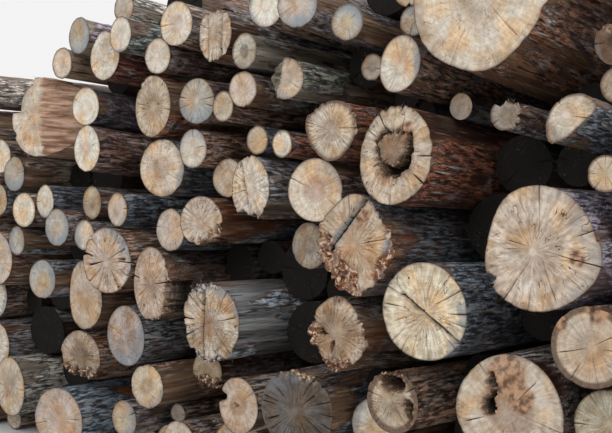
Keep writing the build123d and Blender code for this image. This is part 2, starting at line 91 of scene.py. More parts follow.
ground_reach = 90          # far enough to meet the sky in the camera's view
ground_drop = 0.002        # keeps the ground's surface from cutting into the lowest logs
ground_corners = [(x * ground_reach, y * ground_reach, 0) for x, y in ((-1, -1), (1, -1), (1, 1), (-1, 1))]
ground_mesh = bpy.data.meshes.new("ground")
ground_mesh.from_pydata(ground_corners, [], [(0, 1, 2, 3)])
ground_mesh.materials.append(pale_ground())
ground = bpy.data.objects.new("ground", ground_mesh)
ground.location.z = -ground_drop
scene.collection.objects.link(ground)

world = bpy.data.worlds.new("soft_sky")
scene.world = world
world.use_nodes = True
sky_nodes, sky_links = world.node_tree.nodes, world.node_tree.links
sky = sky_nodes["Background"]
sky.inputs["Color"].default_value = (0.93, 0.96, 1.0, 1)
sky.inputs["Strength"].default_value = 0.70
plain = sky_nodes.new("ShaderNodeBackground")
plain.inputs["Color"].default_value = (0.9, 0.9, 0.9, 1)
paths = sky_nodes.new("ShaderNodeLightPath")
seen = sky_nodes.new("ShaderNodeMath")
seen.operation = "MAXIMUM"
which_sky = sky_nodes.new("ShaderNodeMixShader")
sky_links.new(paths.outputs["Is Camera Ray"], seen.inputs[0])
sky_links.new(paths.outputs["Is Glossy Ray"], seen.inputs[1])
sky_links.new(seen.outputs[0], which_sky.inputs["Fac"])
sky_links.new(sky.outputs[0], which_sky.inputs[1])
sky_links.new(plain.outputs[0], which_sky.inputs[2])
sky_links.new(which_sky.outputs[0], sky_nodes["World Output"].inputs["Surface"])


def lamp(name, place, aim, size, power, color):
    data = bpy.data.lights.new(name, "AREA")
    data.size = size
    data.energy = power
    data.color = color
    obj = bpy.data.objects.new(name, data)
    obj.location = place
    obj.rotation_euler = (Vector(aim) - Vector(place)).to_track_quat("-Z", "Y").to_euler()
    scene.collection.objects.link(obj)


lamp("front_lamp", (0.5, -9.0, 5.5), (0, -1.5, 1.2), 6, 350, (1.0, 0.985, 0.965))
lamp("right_lamp", (7.0, -3.0, 8.5), (0, -0.5, 1.2), 7, 360, (0.93, 0.96, 1.0))


# The bare log: a felled trunk cut to length by a saw at both ends. Its outline and the hollows
# in its end are those of the fixed frame, and bark, saw marks and checks are worked into it.

def rough(points, seed, octaves=3):
    """Smooth random relief of about -1 to 1 at each point; one unit is the size of a lump.

    A log's reliefs each add their own number to its seed, so that none follows another.
    """
    total = np.zeros(len(points))
    strength = 1.0
    for octave in range(octaves):
        p = points * 2 ** octave + 17.3 * octave
        cell = np.floor(p).astype(np.int64)
        f = p - cell
        f = f * f * (3 - 2 * f)
        value = np.zeros(len(points))
        for corner in range(8):
            dx, dy, dz = corner & 1, corner >> 1 & 1, corner >> 2
            n = (cell[:, 0] + dx) * 73856093 ^ (cell[:, 1] + dy) * 19349663
            n = n ^ (cell[:, 2] + dz) * 83492791
            n = (n ^ (seed * 2654435761)) & 0x7FFFFFFF
            n = (n ^ n >> 13) * 1274126177 & 0x7FFFFFFF
            n = (n ^ n >> 16) & 0xFFFF
            weight = (np.where(dx, f[:, 0], 1 - f[:, 0]) * np.where(dy, f[:, 1], 1 - f[:, 1])
                      * np.where(dz, f[:, 2], 1 - f[:, 2]))
            value += weight * (n / 32767.5 - 1)
        total += strength * value
        strength *= 0.5
    return total / 1.5


def rough_across(x, z, layer, seed, octaves=3):
    """The same relief over an end; layer keeps the ends of different logs from being alike."""
    spots = np.stack([x.ravel(), z.ravel(), np.full(x.size, layer)], 1)
    return rough(spots, seed, octaves).reshape(x.shape)


def ease(low, high, value):
    """A soft step: 0 up to low, 1 from high on."""
    share = np.clip((value - low) / (high - low), 0, 1)
    return share * share * (3 - 2 * share)


def separate_logs(node):
    """The logs of one node: for each its corners and faces, from left to right."""
    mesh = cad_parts[node].data
    corner = np.array([v.co for v in mesh.vertices])
    keys, first = {}, np.zeros(len(corner), int)
    for i, co in enumerate(np.round(corner, 6)):
        first[i] = keys.setdefault(tuple(co), i)
    parent = list(range(len(corner)))

    def root(i):
        while parent[i] != i:
            parent[i] = parent[parent[i]]
            i = parent[i]
        return i

    faces = [[int(first[v]) for v in polygon.vertices] for polygon in mesh.polygons]
    for face in faces:
        for v in face[1:]:
            parent[root(face[0])] = root(v)
    groups = {}
    for face in faces:
        groups.setdefault(root(face[0]), []).append(face)
    found = []
    for group in groups.values():
        used = sorted({v for face in group for v in face})
        at = {v: k for k, v in enumerate(used)}
        found.append((corner[used], [[at[v] for v in face] for face in group]))
    return sorted(found, key=lambda log: log[0][:, 0].mean())


class Log:
    """One log, finished: rows of corners over the front end, along the side and over the back end."""

    fine_cell = 0.0121         # spacing of the corners round a front end in sight
    coarse_cell = 0.024        # and round a log that lies behind the others
    row_step = 0.0095          # spacing of the rows from the heart to the rim
    near_step = 0.035          # spacing of the rows along the first stretch of the side
    hidden_step = 0.2          # and on a log behind the others
    swell_steps = (0.39, 0.585, 0.64)    # where an uneven butt is measured as it turns round
    near_length = 0.6          # length behind the front end that gets the fine relief
    seam_width = 0.011         # width of a split that runs across an end
    probe_count = 72           # directions in which the outline is measured
    probe_spots = ((0, 0), (0.007, 0.003), (-0.007, -0.003))   # where each spot of an end is measured
    facet = 0.004              # the most that a facet's edge stands out from the round trunk
    inset = 0.0005             # room between the finished logs and the box of the fixed frame

    def __init__(self, corners, faces, look, seed):
        self.look, self.seed, self.draw = look, seed, np.random.default_rng(seed)
        self.tree = BVHTree.FromPolygons([Vector(c) for c in corners], faces)
        self.front, self.back = corners[:, 1].min(), corners[:, 1].max()
        self.find_axis(corners)
        swell = [self.front + step for step in self.swell_steps]
        self.stations = np.array([self.front, *swell, self.back - 0.02])
        probes = np.arange(self.probe_count) * tau / self.probe_count
        rims = [self.outline(y, probes) for y in self.stations[1:]]
        rims.insert(0, np.clip(3 * rims[0] - 2 * rims[1], 0.7 * rims[0], 1.35 * rims[0]))
        self.size = float(np.median(rims[0]))
        self.checks = self.drying_checks()
        cell = self.fine_cell if look["shown"] else self.coarse_cell
        count = int(np.clip(self.size * tau / cell, 34, 170))
        turns = [k * tau / count for k in range(count)]
        for t, width, _, _ in self.checks:
            turns += [t, (t - width) % tau, (t + width) % tau]
        self.turns = np.array(sorted(turns))
        self.each = np.arange(len(self.turns))
        closed = np.append(probes, tau)
        self.rims = np.array([np.interp(self.turns, closed, np.append(rim, rim[0])) for rim in rims])
        self.wear_rims()
        face_rows = int(np.clip(self.size / self.row_step, 9, 30)) if look["shown"] else 5
        self.shares = np.concatenate([np.linspace(0, 0.93, face_rows + 1)[1:], [0.96, 0.985]])

    def find_axis(self, corners):
        """The straight axis of the round trunk: where it starts from, and how it leans."""
        front, back = self.front, self.back
        near, far = corners[corners[:, 1] < front + 0.1], corners[corners[:, 1] > back - 0.05]
        near, far = (near.min(axis=0) + near.max(axis=0)) / 2, (far.min(axis=0) + far.max(axis=0)) / 2

        def middle(y):
            x, _, z = near + (far - near) * (y - front) / (back - front)
            left = self.tree.ray_cast(Vector((x - 2, y, z)), Vector((1, 0, 0)))[0]
            right = self.tree.ray_cast(Vector((x + 2, y, z)), Vector((-1, 0, 0)))[0]
            low = self.tree.ray_cast(Vector((x, y, z - 2)), Vector((0, 0, 1)))[0]
            high = self.tree.ray_cast(Vector((x, y, z + 2)), Vector((0, 0, -1)))[0]
            return np.array([(left.x + right.x) / 2, (low.z + high.z) / 2])

        swell_end = front + self.swell_steps[-1]
        a, b = middle(swell_end), middle(back - 0.01)
        self.lean = (b - a) / (back - 0.01 - swell_end)
        self.foot = a - self.lean * swell_end

    def outline(self, y, turns):
        """Radius at each angle, found from outside, with the fixed frame's facets rounded off."""
        cx, cz = self.foot + self.lean * y
        radius = []
        for t in turns:
            way = Vector((cos(t), 0, sin(t)))
            hit = self.tree.ray_cast(Vector((cx, y, cz)) + way * 1.5, -way)[0]
            radius.append(1.5 if hit is None else hypot(hit.x - cx, hit.z - cz))
        radius = np.array(radius)
        wide = (np.roll(radius, 1) + np.roll(radius, -1) + radius) / 3
        return np.where(np.abs(wide - radius) < self.facet, wide * 1.004, radius)

    def drying_checks(self):
        """The cracks of drying wood: direction, width, and the shares of the way out where they run."""
        checks, number = [], self.look["checks"]
        for k in range(number):
            t = ((k + self.draw.uniform(-0.35, 0.35)) * tau / number + self.seed) % tau
            width = self.look["check_width"] * self.draw.uniform(0.45, 1.3) / self.size
            start = self.draw.uniform(0.0, 0.6)
            checks.append((t, width, start, start + self.draw.uniform(0.35, 1.0)))
        return checks

    def in_checks(self, shares, whole=False):
        """How far each place of an end lies in a check; whole ones run out to the rim."""
        depth = np.zeros((len(shares), len(self.turns)))
        for t, width, start, stop in self.checks:
            off = np.abs((self.turns - t + pi) % tau - pi) / width
            along = ease(start, start + 0.2, shares)
            if not whole:
                along = along * (1 - ease(stop, stop + 0.1, shares))
            depth = np.maximum(depth, np.maximum(0, 1 - off)[None] * along[:, None])
        return depth

    def crumbled(self, cx, cz):
        """How crumbly the end is at places given in radii from its middle."""
        ragged = rough_across(cx * 5, cz * 5, 1.7 * self.seed, self.seed + 41, 2)
        worst = np.zeros_like(cx)
        for way, reach in self.look["crumbly"]:
            outward = cx * cos(way) + cz * sin(way) + 0.25 * ragged
            worst = np.maximum(worst, ease(1 - reach, 1.2 - reach, outward))
        return worst

    def wear_rims(self):
        """Dent and chip the outline, and bite more out of it where the end has gone crumbly."""
        turns, seed, size = self.turns, self.seed, self.size
        circle = np.stack([np.cos(turns), np.sin(turns), np.full(len(turns), 0.61 * seed)], 1)
        chips = np.maximum(0, rough(circle * size / 0.022, seed + 31, 2) - 0.1)
        lumpy = rough(circle * 1.6, seed + 32, 2)
        self.rims[0] *= 1 - self.look["chipped"] * chips / size - 0.012 * (1 - lumpy)
        self.rims[1:4] *= 1 - 0.012 * (1 - rough(circle * 1.6 + 9, seed + 33, 2))
        self.rim_crumble = self.crumbled(np.cos(turns), np.sin(turns))
        bites = np.maximum(0, 0.45 + rough(circle * size / 0.017, seed + 42, 3))
        self.rims[0] -= 0.024 * self.rim_crumble * bites
        self.rims[1] -= 0.006 * self.rim_crumble * bites

    def radius(self, y):
        """The worn radius, at one place along the log for each angle."""
        stations = self.stations
        k = np.clip(np.searchsorted(stations, y) - 1, 0, len(stations) - 2)
        share = np.clip((y - stations[k]) / (stations[k + 1] - stations[k]), 0, 1)
        return self.rims[k, self.each] * (1 - share) + self.rims[k + 1, self.each] * share

    def straight_rim(self, y):
        """The radius for each angle where the log is cut straight across."""
        return self.radius(np.full(len(self.turns), y))

    def end_rows(self, y, rows):
        """Where the rows of an end lie across the log."""
        shares = self.shares[rows]
        wobble = 0.035 * np.sin(5 * shares + self.seed)[:, None]
        centre = self.foot + self.lean * y
        reach = self.straight_rim(y) * shares[:, None]
        around = self.turns + wobble * (1 - shares[:, None])
        return centre[0] + reach * np.cos(around), centre[1] + reach * np.sin(around)

    def front_end(self):
        """Corners of the front end, with its splits, hollows, rot, saw marks and checks, and painted shade in
        deep hollows.
        """
        look, seed = self.look, self.seed
        x, z = self.end_rows(self.front, np.arange(len(self.shares)))
        middle = self.foot + self.lean * self.front
        seam, self.beside_seam = np.zeros_like(x), np.zeros_like(x)
        for (x0, z0), (x1, z1) in look["seams"]:
            start = middle + self.size * np.array([x0, z0])
            run = self.size * np.array([x1 - x0, z1 - z0])
            share = np.clip(((x - start[0]) * run[0] + (z - start[1]) * run[1]) / (run @ run), 0, 1)
            off_x, off_z = start[0] + share * run[0] - x, start[1] + share * run[1] - z
            off = np.hypot(off_x, off_z)
            inner = (off < self.seam_width / 2) & (self.shares < 0.97)[:, None]
            x, z = x + np.where(inner, off_x, 0), z + np.where(inner, off_z, 0)
            seam = np.maximum(seam, np.where(inner, 1, np.maximum(0, 1 - off / self.seam_width)))
            beside = 1 - ease(0.3 * self.seam_width, 3.5 * self.seam_width, off)
            self.beside_seam = np.maximum(self.beside_seam, beside)
        y = self.probed(x, z)
        sunken = self.below_cut(x, y, z)

        # Hollows and bites are eaten away with a frayed edge, and crumbly and brown beside it. A
        # plate is a second cut, lower than the first, and as sound as that one.
        plate = 1 - ease(0.002, 0.008, np.abs(sunken - look["plate"]))
        plate = plate * (x < middle[0] + look["plate_reach"])
        frayed = rough_across(x / 0.035, z / 0.035, 2.9 * seed, seed + 44)
        frayed_depth = np.where(sunken > 0.008, sunken + 2.4 * look["jag"] * frayed, sunken)
        eaten = ease(0.008, 0.024, frayed_depth) * (1 - plate)
        halo = eaten
        for _ in range(3):
            beside = np.roll(halo, 1, axis=1) + np.roll(halo, -1, axis=1)
            halo = np.maximum(halo, 0.33 * (beside + halo))
            halo[1:-1] = np.maximum(halo[1:-1], 0.4 * (halo[2:] + halo[:-2]))
        crumble = self.crumbled((x - middle[0]) / self.size, (z - middle[1]) / self.size)
        crumble = np.maximum(crumble, look["decay"] * halo * (look["jag"] > 0.007))
        brown = 0.75 * look["decay"] * halo * (1 - eaten)
        for dx, dz, reach in look["brown"]:
            off = np.hypot(x - middle[0] - dx * self.size, z - middle[1] - dz * self.size)
            brown = np.maximum(brown, 1 - ease(0.7, 1.0, off / (reach * self.size) + 0.3 * frayed))

        # Crumbs, the saw's waves, torn strands or rotten wood in the hollows, the checks, and painted shade
        # deep in rotten hollows.
        lump_x, lump_z, layer = x / 0.05, z / 0.05, seed * 7.7
        y += crumble * (0.008 + 0.014 * rough_across(x / 0.02, z / 0.02, 5.3 * seed, seed + 43))
        y += look["saw"] * rough_across(lump_x, lump_z, layer, seed + 3)
        if look["decay"] < 0.5:
            torn = rough_across(lump_x * 0.5, lump_z * 2.1, layer, seed + 5)
            strand = np.floor(z / 0.02 + 1.3 * rough_across(lump_x, lump_z * 0.5, layer, seed + 7))
            y += 0.013 * eaten * np.sin(12.9 * strand + seed)
        else:
            torn = rough_across(3 * lump_x, 3 * lump_z, 3 * layer, seed + 5)
        y += 0.016 * eaten * np.minimum(1, look["jag"] / 0.006) * torn
        check = np.maximum(self.in_checks(self.shares), seam)
        y += look["check_depth"] * check + 0.02 * seam
        # hollow_shade is painted shade: the deeper a rotten hollow goes, the nearer black its colour is
        # painted.
        self.face = {"check": check, "sunken": eaten, "brown": brown, "crumble": crumble,
                     "hollow_shade": look["decay"] * ease(0.014, 0.05, sunken)}
        return x, y, z

    def probed(self, x, z):
        """How far back the fixed frame's surface lies behind each place of the front end."""
        look, front = self.look, self.front
        jag = look["jag"] * np.minimum(1, 0.15 + 4 * (1 - self.shares))[:, None]
        spot_x, spot_z, layer = x / 0.022, z / 0.022, 3.1 * self.seed
        jag_x = jag * rough_across(spot_x, spot_z, layer, self.seed, 2)
        jag_z = jag * rough_across(spot_x + 50, spot_z + 50, layer + 50, self.seed, 2)
        y = np.full(x.shape, 9.0)
        for i, j in np.ndindex(x.shape):
            for dx, dz in self.probe_spots if look["shown"] else self.probe_spots[:1]:
                place = Vector((x[i, j] + jag_x[i, j] + dx, front - 0.1, z[i, j] + jag_z[i, j] + dz))
                hit = self.tree.ray_cast(place, Vector((0, 1, 0)))[0]
                if hit is not None:
                    y[i, j] = min(y[i, j], hit.y)
        return np.minimum(y, np.where(y > 8, front + 0.05, front + look["deepest"]))

    def below_cut(self, x, y, z):
        """Depth below the flat saw cut, which is found as the plane that most of the end lies in."""
        flat = np.stack([np.ones(x.size), x.ravel(), z.ravel()], 1)
        keep = np.ones(x.size, bool)
        for _ in range(6):
            fit = np.linalg.lstsq(flat[keep], y.ravel()[keep], rcond=None)[0]
            keep = y.ravel() < flat @ fit + 0.005
            keep |= keep.sum() < 12
        return np.maximum(0, y - (flat @ fit).reshape(y.shape))

    def side(self, rim_y):
        """Corners of the bark along the trunk, furrowed, and lower where the wood lies bare."""
        look, seed, front, near_length = self.look, self.seed, self.front, self.near_length
        rows = int(near_length / (self.near_step if look["shown"] else self.hidden_step))
        near = near_length * np.linspace(0, 1, rows + 1)[1:] ** 1.35
        far = np.linspace(near_length, self.back - front - 0.012, 12)[1:]
        first = rim_y + 0.003
        y = [first] + [np.maximum(first + 0.6 * d * (1 - d / near_length), front + d) for d in near]
        y = np.array(y + [np.full(len(self.turns), front + d) for d in far])
        r = np.array([self.radius(row) for row in y])
        spots = np.stack([r * np.cos(self.turns), r * np.sin(self.turns), y - front], -1).reshape(-1, 3)
        patches = rough(spots / np.array([0.12, 0.12, 0.45]) + seed, seed + 11, 3).reshape(y.shape)
        fray = 0.35 * rough(spots / 0.03, seed + 12, 2).reshape(y.shape)
        peeled = look["peeled"] * np.exp(-(y - front) / 0.12)
        self.bare = ease(-0.05, 0.12, patches + 0.25 * fray + look["bare"] - 0.75 + peeled)
        furrows = rough(spots / np.array([0.022, 0.022, 0.1]), seed + 13, 3).reshape(y.shape)
        bark_depth = look["bark_depth"] * (0.5 - 0.5 * furrows) * (1 - self.bare)
        self.side_radius = r - bark_depth - 0.007 * self.bare - 0.001
        self.side_crumble = self.rim_crumble * np.exp(-(y - front) / 0.16)
        x = self.foot[0] + self.lean[0] * y + self.side_radius * np.cos(self.turns)
        z = self.foot[1] + self.lean[1] * y + self.side_radius * np.sin(self.turns)
        return x, y, z

    def back_end(self):
        """Corners of the plain saw cut at the far end, with the same checks."""
        rows = np.arange(len(self.shares))[::-1 if not self.look["shown"] else -3]
        x, z = self.end_rows(self.back, rows)
        y = np.full_like(x, self.back - 0.002)
        y -= 0.002 * rough_across(x / 0.05, z / 0.05, 1.3 * self.seed, self.seed)
        self.back_checks = self.in_checks(self.shares[rows], whole=True)
        return x, y - self.look["check_depth"] * self.back_checks, z

    def finished(self):
        """Corners, rows of quads and their materials, triangles, and what the materials read."""
        face = self.front_end()
        side = self.side(face[1][-1])
        far = self.back_end()
        heart, far_heart = self.foot + self.lean * self.front, self.foot + self.lean * self.back
        points = np.concatenate([
            [[heart[0], face[1][0].mean(), heart[1]]],
            *(np.stack(rows, -1).reshape(-1, 3) for rows in (face, side, far)),
            [[far_heart[0], self.back - 0.002, far_heart[1]]]])
        self.box = np.array(cad_box[0]) + self.inset, np.array(cad_box[1]) - self.inset
        points = np.clip(points, *self.box)
        values = self.surface_values(points)

        count = len(self.turns)
        in_front, on_side, behind = len(face[0]), len(side[0]), len(far[0])
        grid = 1 + np.arange(in_front + on_side + behind)[:, None] * count + self.each
        ahead = np.roll(grid, -1, axis=1)
        quads = np.stack([grid[:-1], ahead[:-1], ahead[1:], grid[1:]], -1)
        is_bark = np.zeros(len(grid) - 1, int)
        is_bark[in_front - 1:in_front + on_side] = 1
        last = len(points) - 1
        triangles = [(0, a, b) for a, b in zip(grid[0], ahead[0])]
        triangles += [(last, b, a) for a, b in zip(grid[-1], ahead[-1])]
        points, values = self.splinter(points, values, triangles, grid[in_front - 1])
        return points, quads.reshape(-1, 4)[:, ::-1], np.repeat(is_bark, count), triangles, values

    def surface_values(self, points):
        """For every corner: where it lies in the wood, how stained, split, rotten or bare it is, and its
        painted shade in deep hollows.
        """
        look, seed, size, face = self.look, self.seed, self.size, self.face
        blank_face, blank_side = np.zeros_like(face["check"]), np.zeros_like(self.bare)
        blank_back = np.zeros_like(self.back_checks)

        def column(front=blank_face, side=blank_side, back=blank_back, heart=0, far_heart=0):
            return np.concatenate([[heart], front.ravel(), side.ravel(), back.ravel(), [far_heart]])

        across = points[:, [0, 2]] - (self.foot + self.lean * points[:, [1]])
        pith = np.array([self.draw.uniform(-0.12, 0.12), self.draw.uniform(-0.12, 0.12)]) * size
        sawn_way = self.draw.uniform(-0.7, 0.7) if look["decay"] > 0.5 else 0.0
        sawn_x = across @ np.array([cos(sawn_way), sin(sawn_way)])
        sawn_z = across @ np.array([-sin(sawn_way), cos(sawn_way)])
        outward = np.hypot(across[:, 0], across[:, 1]) / size
        blotch = rough(points / 0.045, seed + 21)
        stain_way = np.array([cos(look["stain_way"]), sin(look["stain_way"])])
        toward = (across @ stain_way) / np.maximum(1e-4, np.hypot(*across.T))
        stain = ease(1.15 - look["stain_reach"], 1.0, outward + 0.25 * blotch + 0.3 * (toward - 0.6))
        stain = np.maximum(look["stain"] * stain, column(look["seam_stain"] * self.beside_seam))
        thick = look["bark_thick"] / size
        rim_at = column(self.straight_rim(self.front)[None].repeat(len(blank_face), 0), self.side_radius,
                        self.straight_rim(self.back)[None].repeat(len(blank_back), 0), size, size)
        rim = ease(1 - thick - 0.03, 1 - thick + 0.02, outward * size / rim_at + 0.012 * blotch)
        return {
            "grain": np.column_stack([sawn_x + 0.37 * seed, sawn_z, points[:, 1] - self.front]),
            "pith": np.column_stack([across - pith, np.full(len(points), seed * 0.731)]),
            "outward": outward,
            "check": column(face["check"], back=self.back_checks, heart=face["check"][0].min()),
            "sunken": column(face["sunken"], heart=face["sunken"][0].min()),
            "brown": column(face["brown"], heart=face["brown"][0].mean()),
            "hollow_shade": column(face["hollow_shade"], heart=face["hollow_shade"][0].min()),
            "crumble": column(face["crumble"], self.side_crumble, heart=face["crumble"][0].min()),
            "bare": column(side=self.bare),
            "stain": np.clip(stain, 0, 1),
            "rim": look["edge"] * rim,
            "heart_share": ease(look["heart_size"], look["heart_size"] - 0.25, outward + 0.12 * blotch),
        }

    def splinter(self, points, values, triangles, rim):
        """Stand thin slivers of torn wood on the crumbly stretches of the rim."""
        draw, turns = self.draw, self.turns
        likely = self.rim_crumble + 0.05
        slivers, rooted = [], []
        for _ in range(self.look["splinters"]):
            k = draw.choice(len(turns), p=likely / likely.sum())
            root = points[rim[k]] + (0, draw.uniform(0.0, 0.05), 0)
            outward = np.array([cos(turns[k]), 0, sin(turns[k])])
            aside = np.array([-sin(turns[k]), 0, cos(turns[k])])
            way = draw.uniform(0.1, 0.8) * outward + draw.uniform(-0.8, 0.8) * aside
            way = way + (0, draw.uniform(-0.9, 0.7), 0)
            thin = draw.uniform(0.0012, 0.003)
            a = len(points) + 4 * len(rooted)
            root = root - 0.006 * outward
            slivers += [root + thin * aside, root - thin * aside, root + 1.3 * thin * outward,
                        root + way * draw.uniform(0.015, 0.045)]
            rooted.append(rim[k])
            triangles += [(a, a + 1, a + 3), (a + 1, a + 2, a + 3), (a + 2, a, a + 3), (a, a + 2, a + 1)]
        if slivers:
            points = np.clip(np.concatenate([points, slivers]), *self.box)
            values = {name: np.concatenate([value, np.repeat(value[rooted], 4, axis=0)])
                      for name, value in values.items()}
            values["rim"][-len(slivers):] = 0
        return points, values


# The sawn ends: bare end grain with growth rings round an off-centre heart, saw scratches, drying
# cracks that run out from the heart, grey-blue staining from the rim and brown rot in the hollows.

def tone(code):
    """A colour written as six letters, as the shaders need it."""
    parts = [int(code[i:i + 2], 16) / 255 for i in (0, 2, 4)]
    return tuple(c / 12.92 if c < 0.04045 else ((c + 0.055) / 1.055) ** 2.4 for c in parts) + (1,)


class Shading:
    """Short ways to add and join the nodes of one material or shader group."""

    def __init__(self, tree):
        self.tree = tree

    def join(self, value, socket):
        if isinstance(value, bpy.types.NodeSocket):
            self.tree.links.new(value, socket)
        else:
            socket.default_value = value

    def add(self, kind, settings=None, **sockets):
        node = self.tree.nodes.new("ShaderNode" + kind)
        for name, value in (settings or {}).items():
            setattr(node, name, value)
        for name, value in sockets.items():
            self.join(value, node.inputs[name.replace("_", " ")])
        return node

    def math(self, operation, *values):
        node = self.add("Math", {"operation": operation})
        for value, socket in zip(values, node.inputs):
            self.join(value, socket)
        return node.outputs[0]

    def times(self, a, b):
        """Two marks multiplied."""
        return self.math("MULTIPLY", a, b)

    def vector(self, operation, a, b):
        node = self.add("VectorMath", {"operation": operation})
        self.join(a, node.inputs[0])
        self.join(b, node.inputs[1])
        return node.outputs[0]

    def stretched(self, at, *factors):
        """Places with each axis drawn out or pressed together."""
        return self.vector("MULTIPLY", at, factors)

    def noise(self, at, scale, detail=3.0):
        return self.add("TexNoise", Vector=at, Scale=scale, Detail=detail).outputs["Fac"]

    def spread(self, value, low, high, start=0.0, end=1.0):
        """The value eased from start to end while it goes from low to high."""
        return self.add("MapRange", {"interpolation_type": "SMOOTHSTEP"}, Value=value, From_Min=low,
                        From_Max=high, To_Min=start, To_Max=end).outputs[0]

    def mix(self, share, a, b, blend="MIX"):
        node = self.add("Mix", {"data_type": "RGBA", "blend_type": blend})
        for value, socket in ((share, 0), (a, 6), (b, 7)):
            self.join(value, node.inputs[socket])
        return node.outputs[2]

    def tinted(self, color, tints):
        """The colour multiplied by each tint in turn, as far as the share beside it says."""
        for share, tint in tints:
            color = self.mix(share, color, tint + (1,), "MULTIPLY")
        return color

    def covered(self, color, covers):
        """The colour painted over with each cover in turn, as far as the share beside it says."""
        for share, cover in covers:
            color = self.mix(share, color, cover + (1,) if isinstance(cover, tuple) else cover)
        return color

    def mark(self, name, output="Fac"):
        """What the log's mesh says of this place, under one name."""
        return self.add("Attribute", {"attribute_name": name}).outputs[output]

    def group(self, tree, **sockets):
        return self.add("Group", {"node_tree": tree}, **sockets).outputs

    def finish(self, shader, color, height, **bump):
        """Join the colour and the relief to the material's shader."""
        self.join(color, shader.inputs["Base Color"])
        self.join(self.add("Bump", Height=height, **bump).outputs[0], shader.inputs["Normal"])


def shader_group(name, inputs, outputs):
    """An empty group of nodes, with its named inputs and outputs."""
    tree = bpy.data.node_groups.new(name, "ShaderNodeTree")
    for socket, value in inputs.items():
        kind = "NodeSocketVector" if value is None else "NodeSocketFloat"
        item = tree.interface.new_socket(socket, in_out="INPUT", socket_type=kind)
        if value is not None:
            item.default_value = value
    for socket in outputs:
        tree.interface.new_socket(socket, in_out="OUTPUT", socket_type="NodeSocketFloat")
    given, result = tree.nodes.new("NodeGroupInput"), tree.nodes.new("NodeGroupOutput")
    return tree, Shading(tree), given.outputs, result.inputs


growth_rings, art, given, result = shader_group(
    "growth_rings", {"At": None, "Spacing": 0.006, "Unevenness": 0.02}, ("Shade", "Ray", "Fan"))
split = art.add("SeparateXYZ", Vector=given["At"]).outputs
flat_at = art.add("CombineXYZ", X=split["X"], Y=split["Y"]).outputs[0]
reach = art.add("VectorMath", {"operation": "LENGTH"}, Vector=flat_at).outputs["Value"]
bend = art.times(art.math("SUBTRACT", art.noise(given["At"], 9.0), 0.5), given["Unevenness"])
ring = art.math("DIVIDE", art.math("ADD", reach, bend), given["Spacing"])
ring_at = art.add("CombineXYZ", X=ring, Y=split["Z"]).outputs[0]
late_wood = art.spread(art.noise(ring_at, 1.0, 1.0), 0.35, 0.65)
art.join(art.times(late_wood, art.spread(reach, 0.004, 0.02)), result["Shade"])
turned = art.add("SeparateXYZ", Vector=art.vector("NORMALIZE", flat_at, (0, 0, 0))).outputs
ray_at = art.add("CombineXYZ", X=turned["X"], Y=turned["Y"],
                 Z=art.math("ADD", art.times(reach, 2.2), split["Z"])).outputs[0]
fan_at = art.vector("ADD", ray_at, art.stretched(given["At"], 2.2, 2.2, 0.0))
fan = art.spread(art.noise(fan_at, 8.0, 4.0), 0.40, 0.66)
art.join(art.times(fan, art.spread(reach, 0.004, 0.03)), result["Fan"])
off_line = art.math("ABSOLUTE", art.math("SUBTRACT", art.noise(ray_at, 4.5, 2.0), 0.5))
line = art.spread(off_line, 0.0, 0.013, 1.0, 0.0)
broken = art.spread(art.noise(given["At"], 14.0, 1.0), 0.45, 0.55)
art.join(art.times(art.times(line, broken), art.spread(reach, 0.02, 0.07)), result["Ray"])

fibres, art, given, result = shader_group(
    "fibres", {"At": None, "Fineness": 60.0, "Length": 12.0}, ("Shade",))
split = art.add("SeparateXYZ", Vector=given["At"]).outputs
fibre_at = art.add("CombineXYZ", X=split["X"], Y=split["Y"],
                   Z=art.math("DIVIDE", split["Z"], given["Length"])).outputs[0]
art.join(art.spread(art.noise(fibre_at, given["Fineness"], 4.0), 0.3, 0.7), result["Shade"])

grime, art, given, result = shader_group("grime", {"At": None, "Amount": 0.5}, ("Speck", "Blotch"))
edge = art.math("SUBTRACT", 0.76, art.times(given["Amount"], 0.17))
clustered = art.spread(art.noise(given["At"], 12.0, 2.0), 0.35, 0.65, 0.06, -0.04)
edge = art.math("ADD", edge, clustered)
specks = art.spread(art.noise(given["At"], 95.0), edge, art.math("ADD", edge, 0.05))
art.join(specks, result["Speck"])
broad = art.spread(art.noise(given["At"], 8.0, 5.0), 0.4, 0.68)
art.join(art.times(broad, given["Amount"]), result["Blotch"])


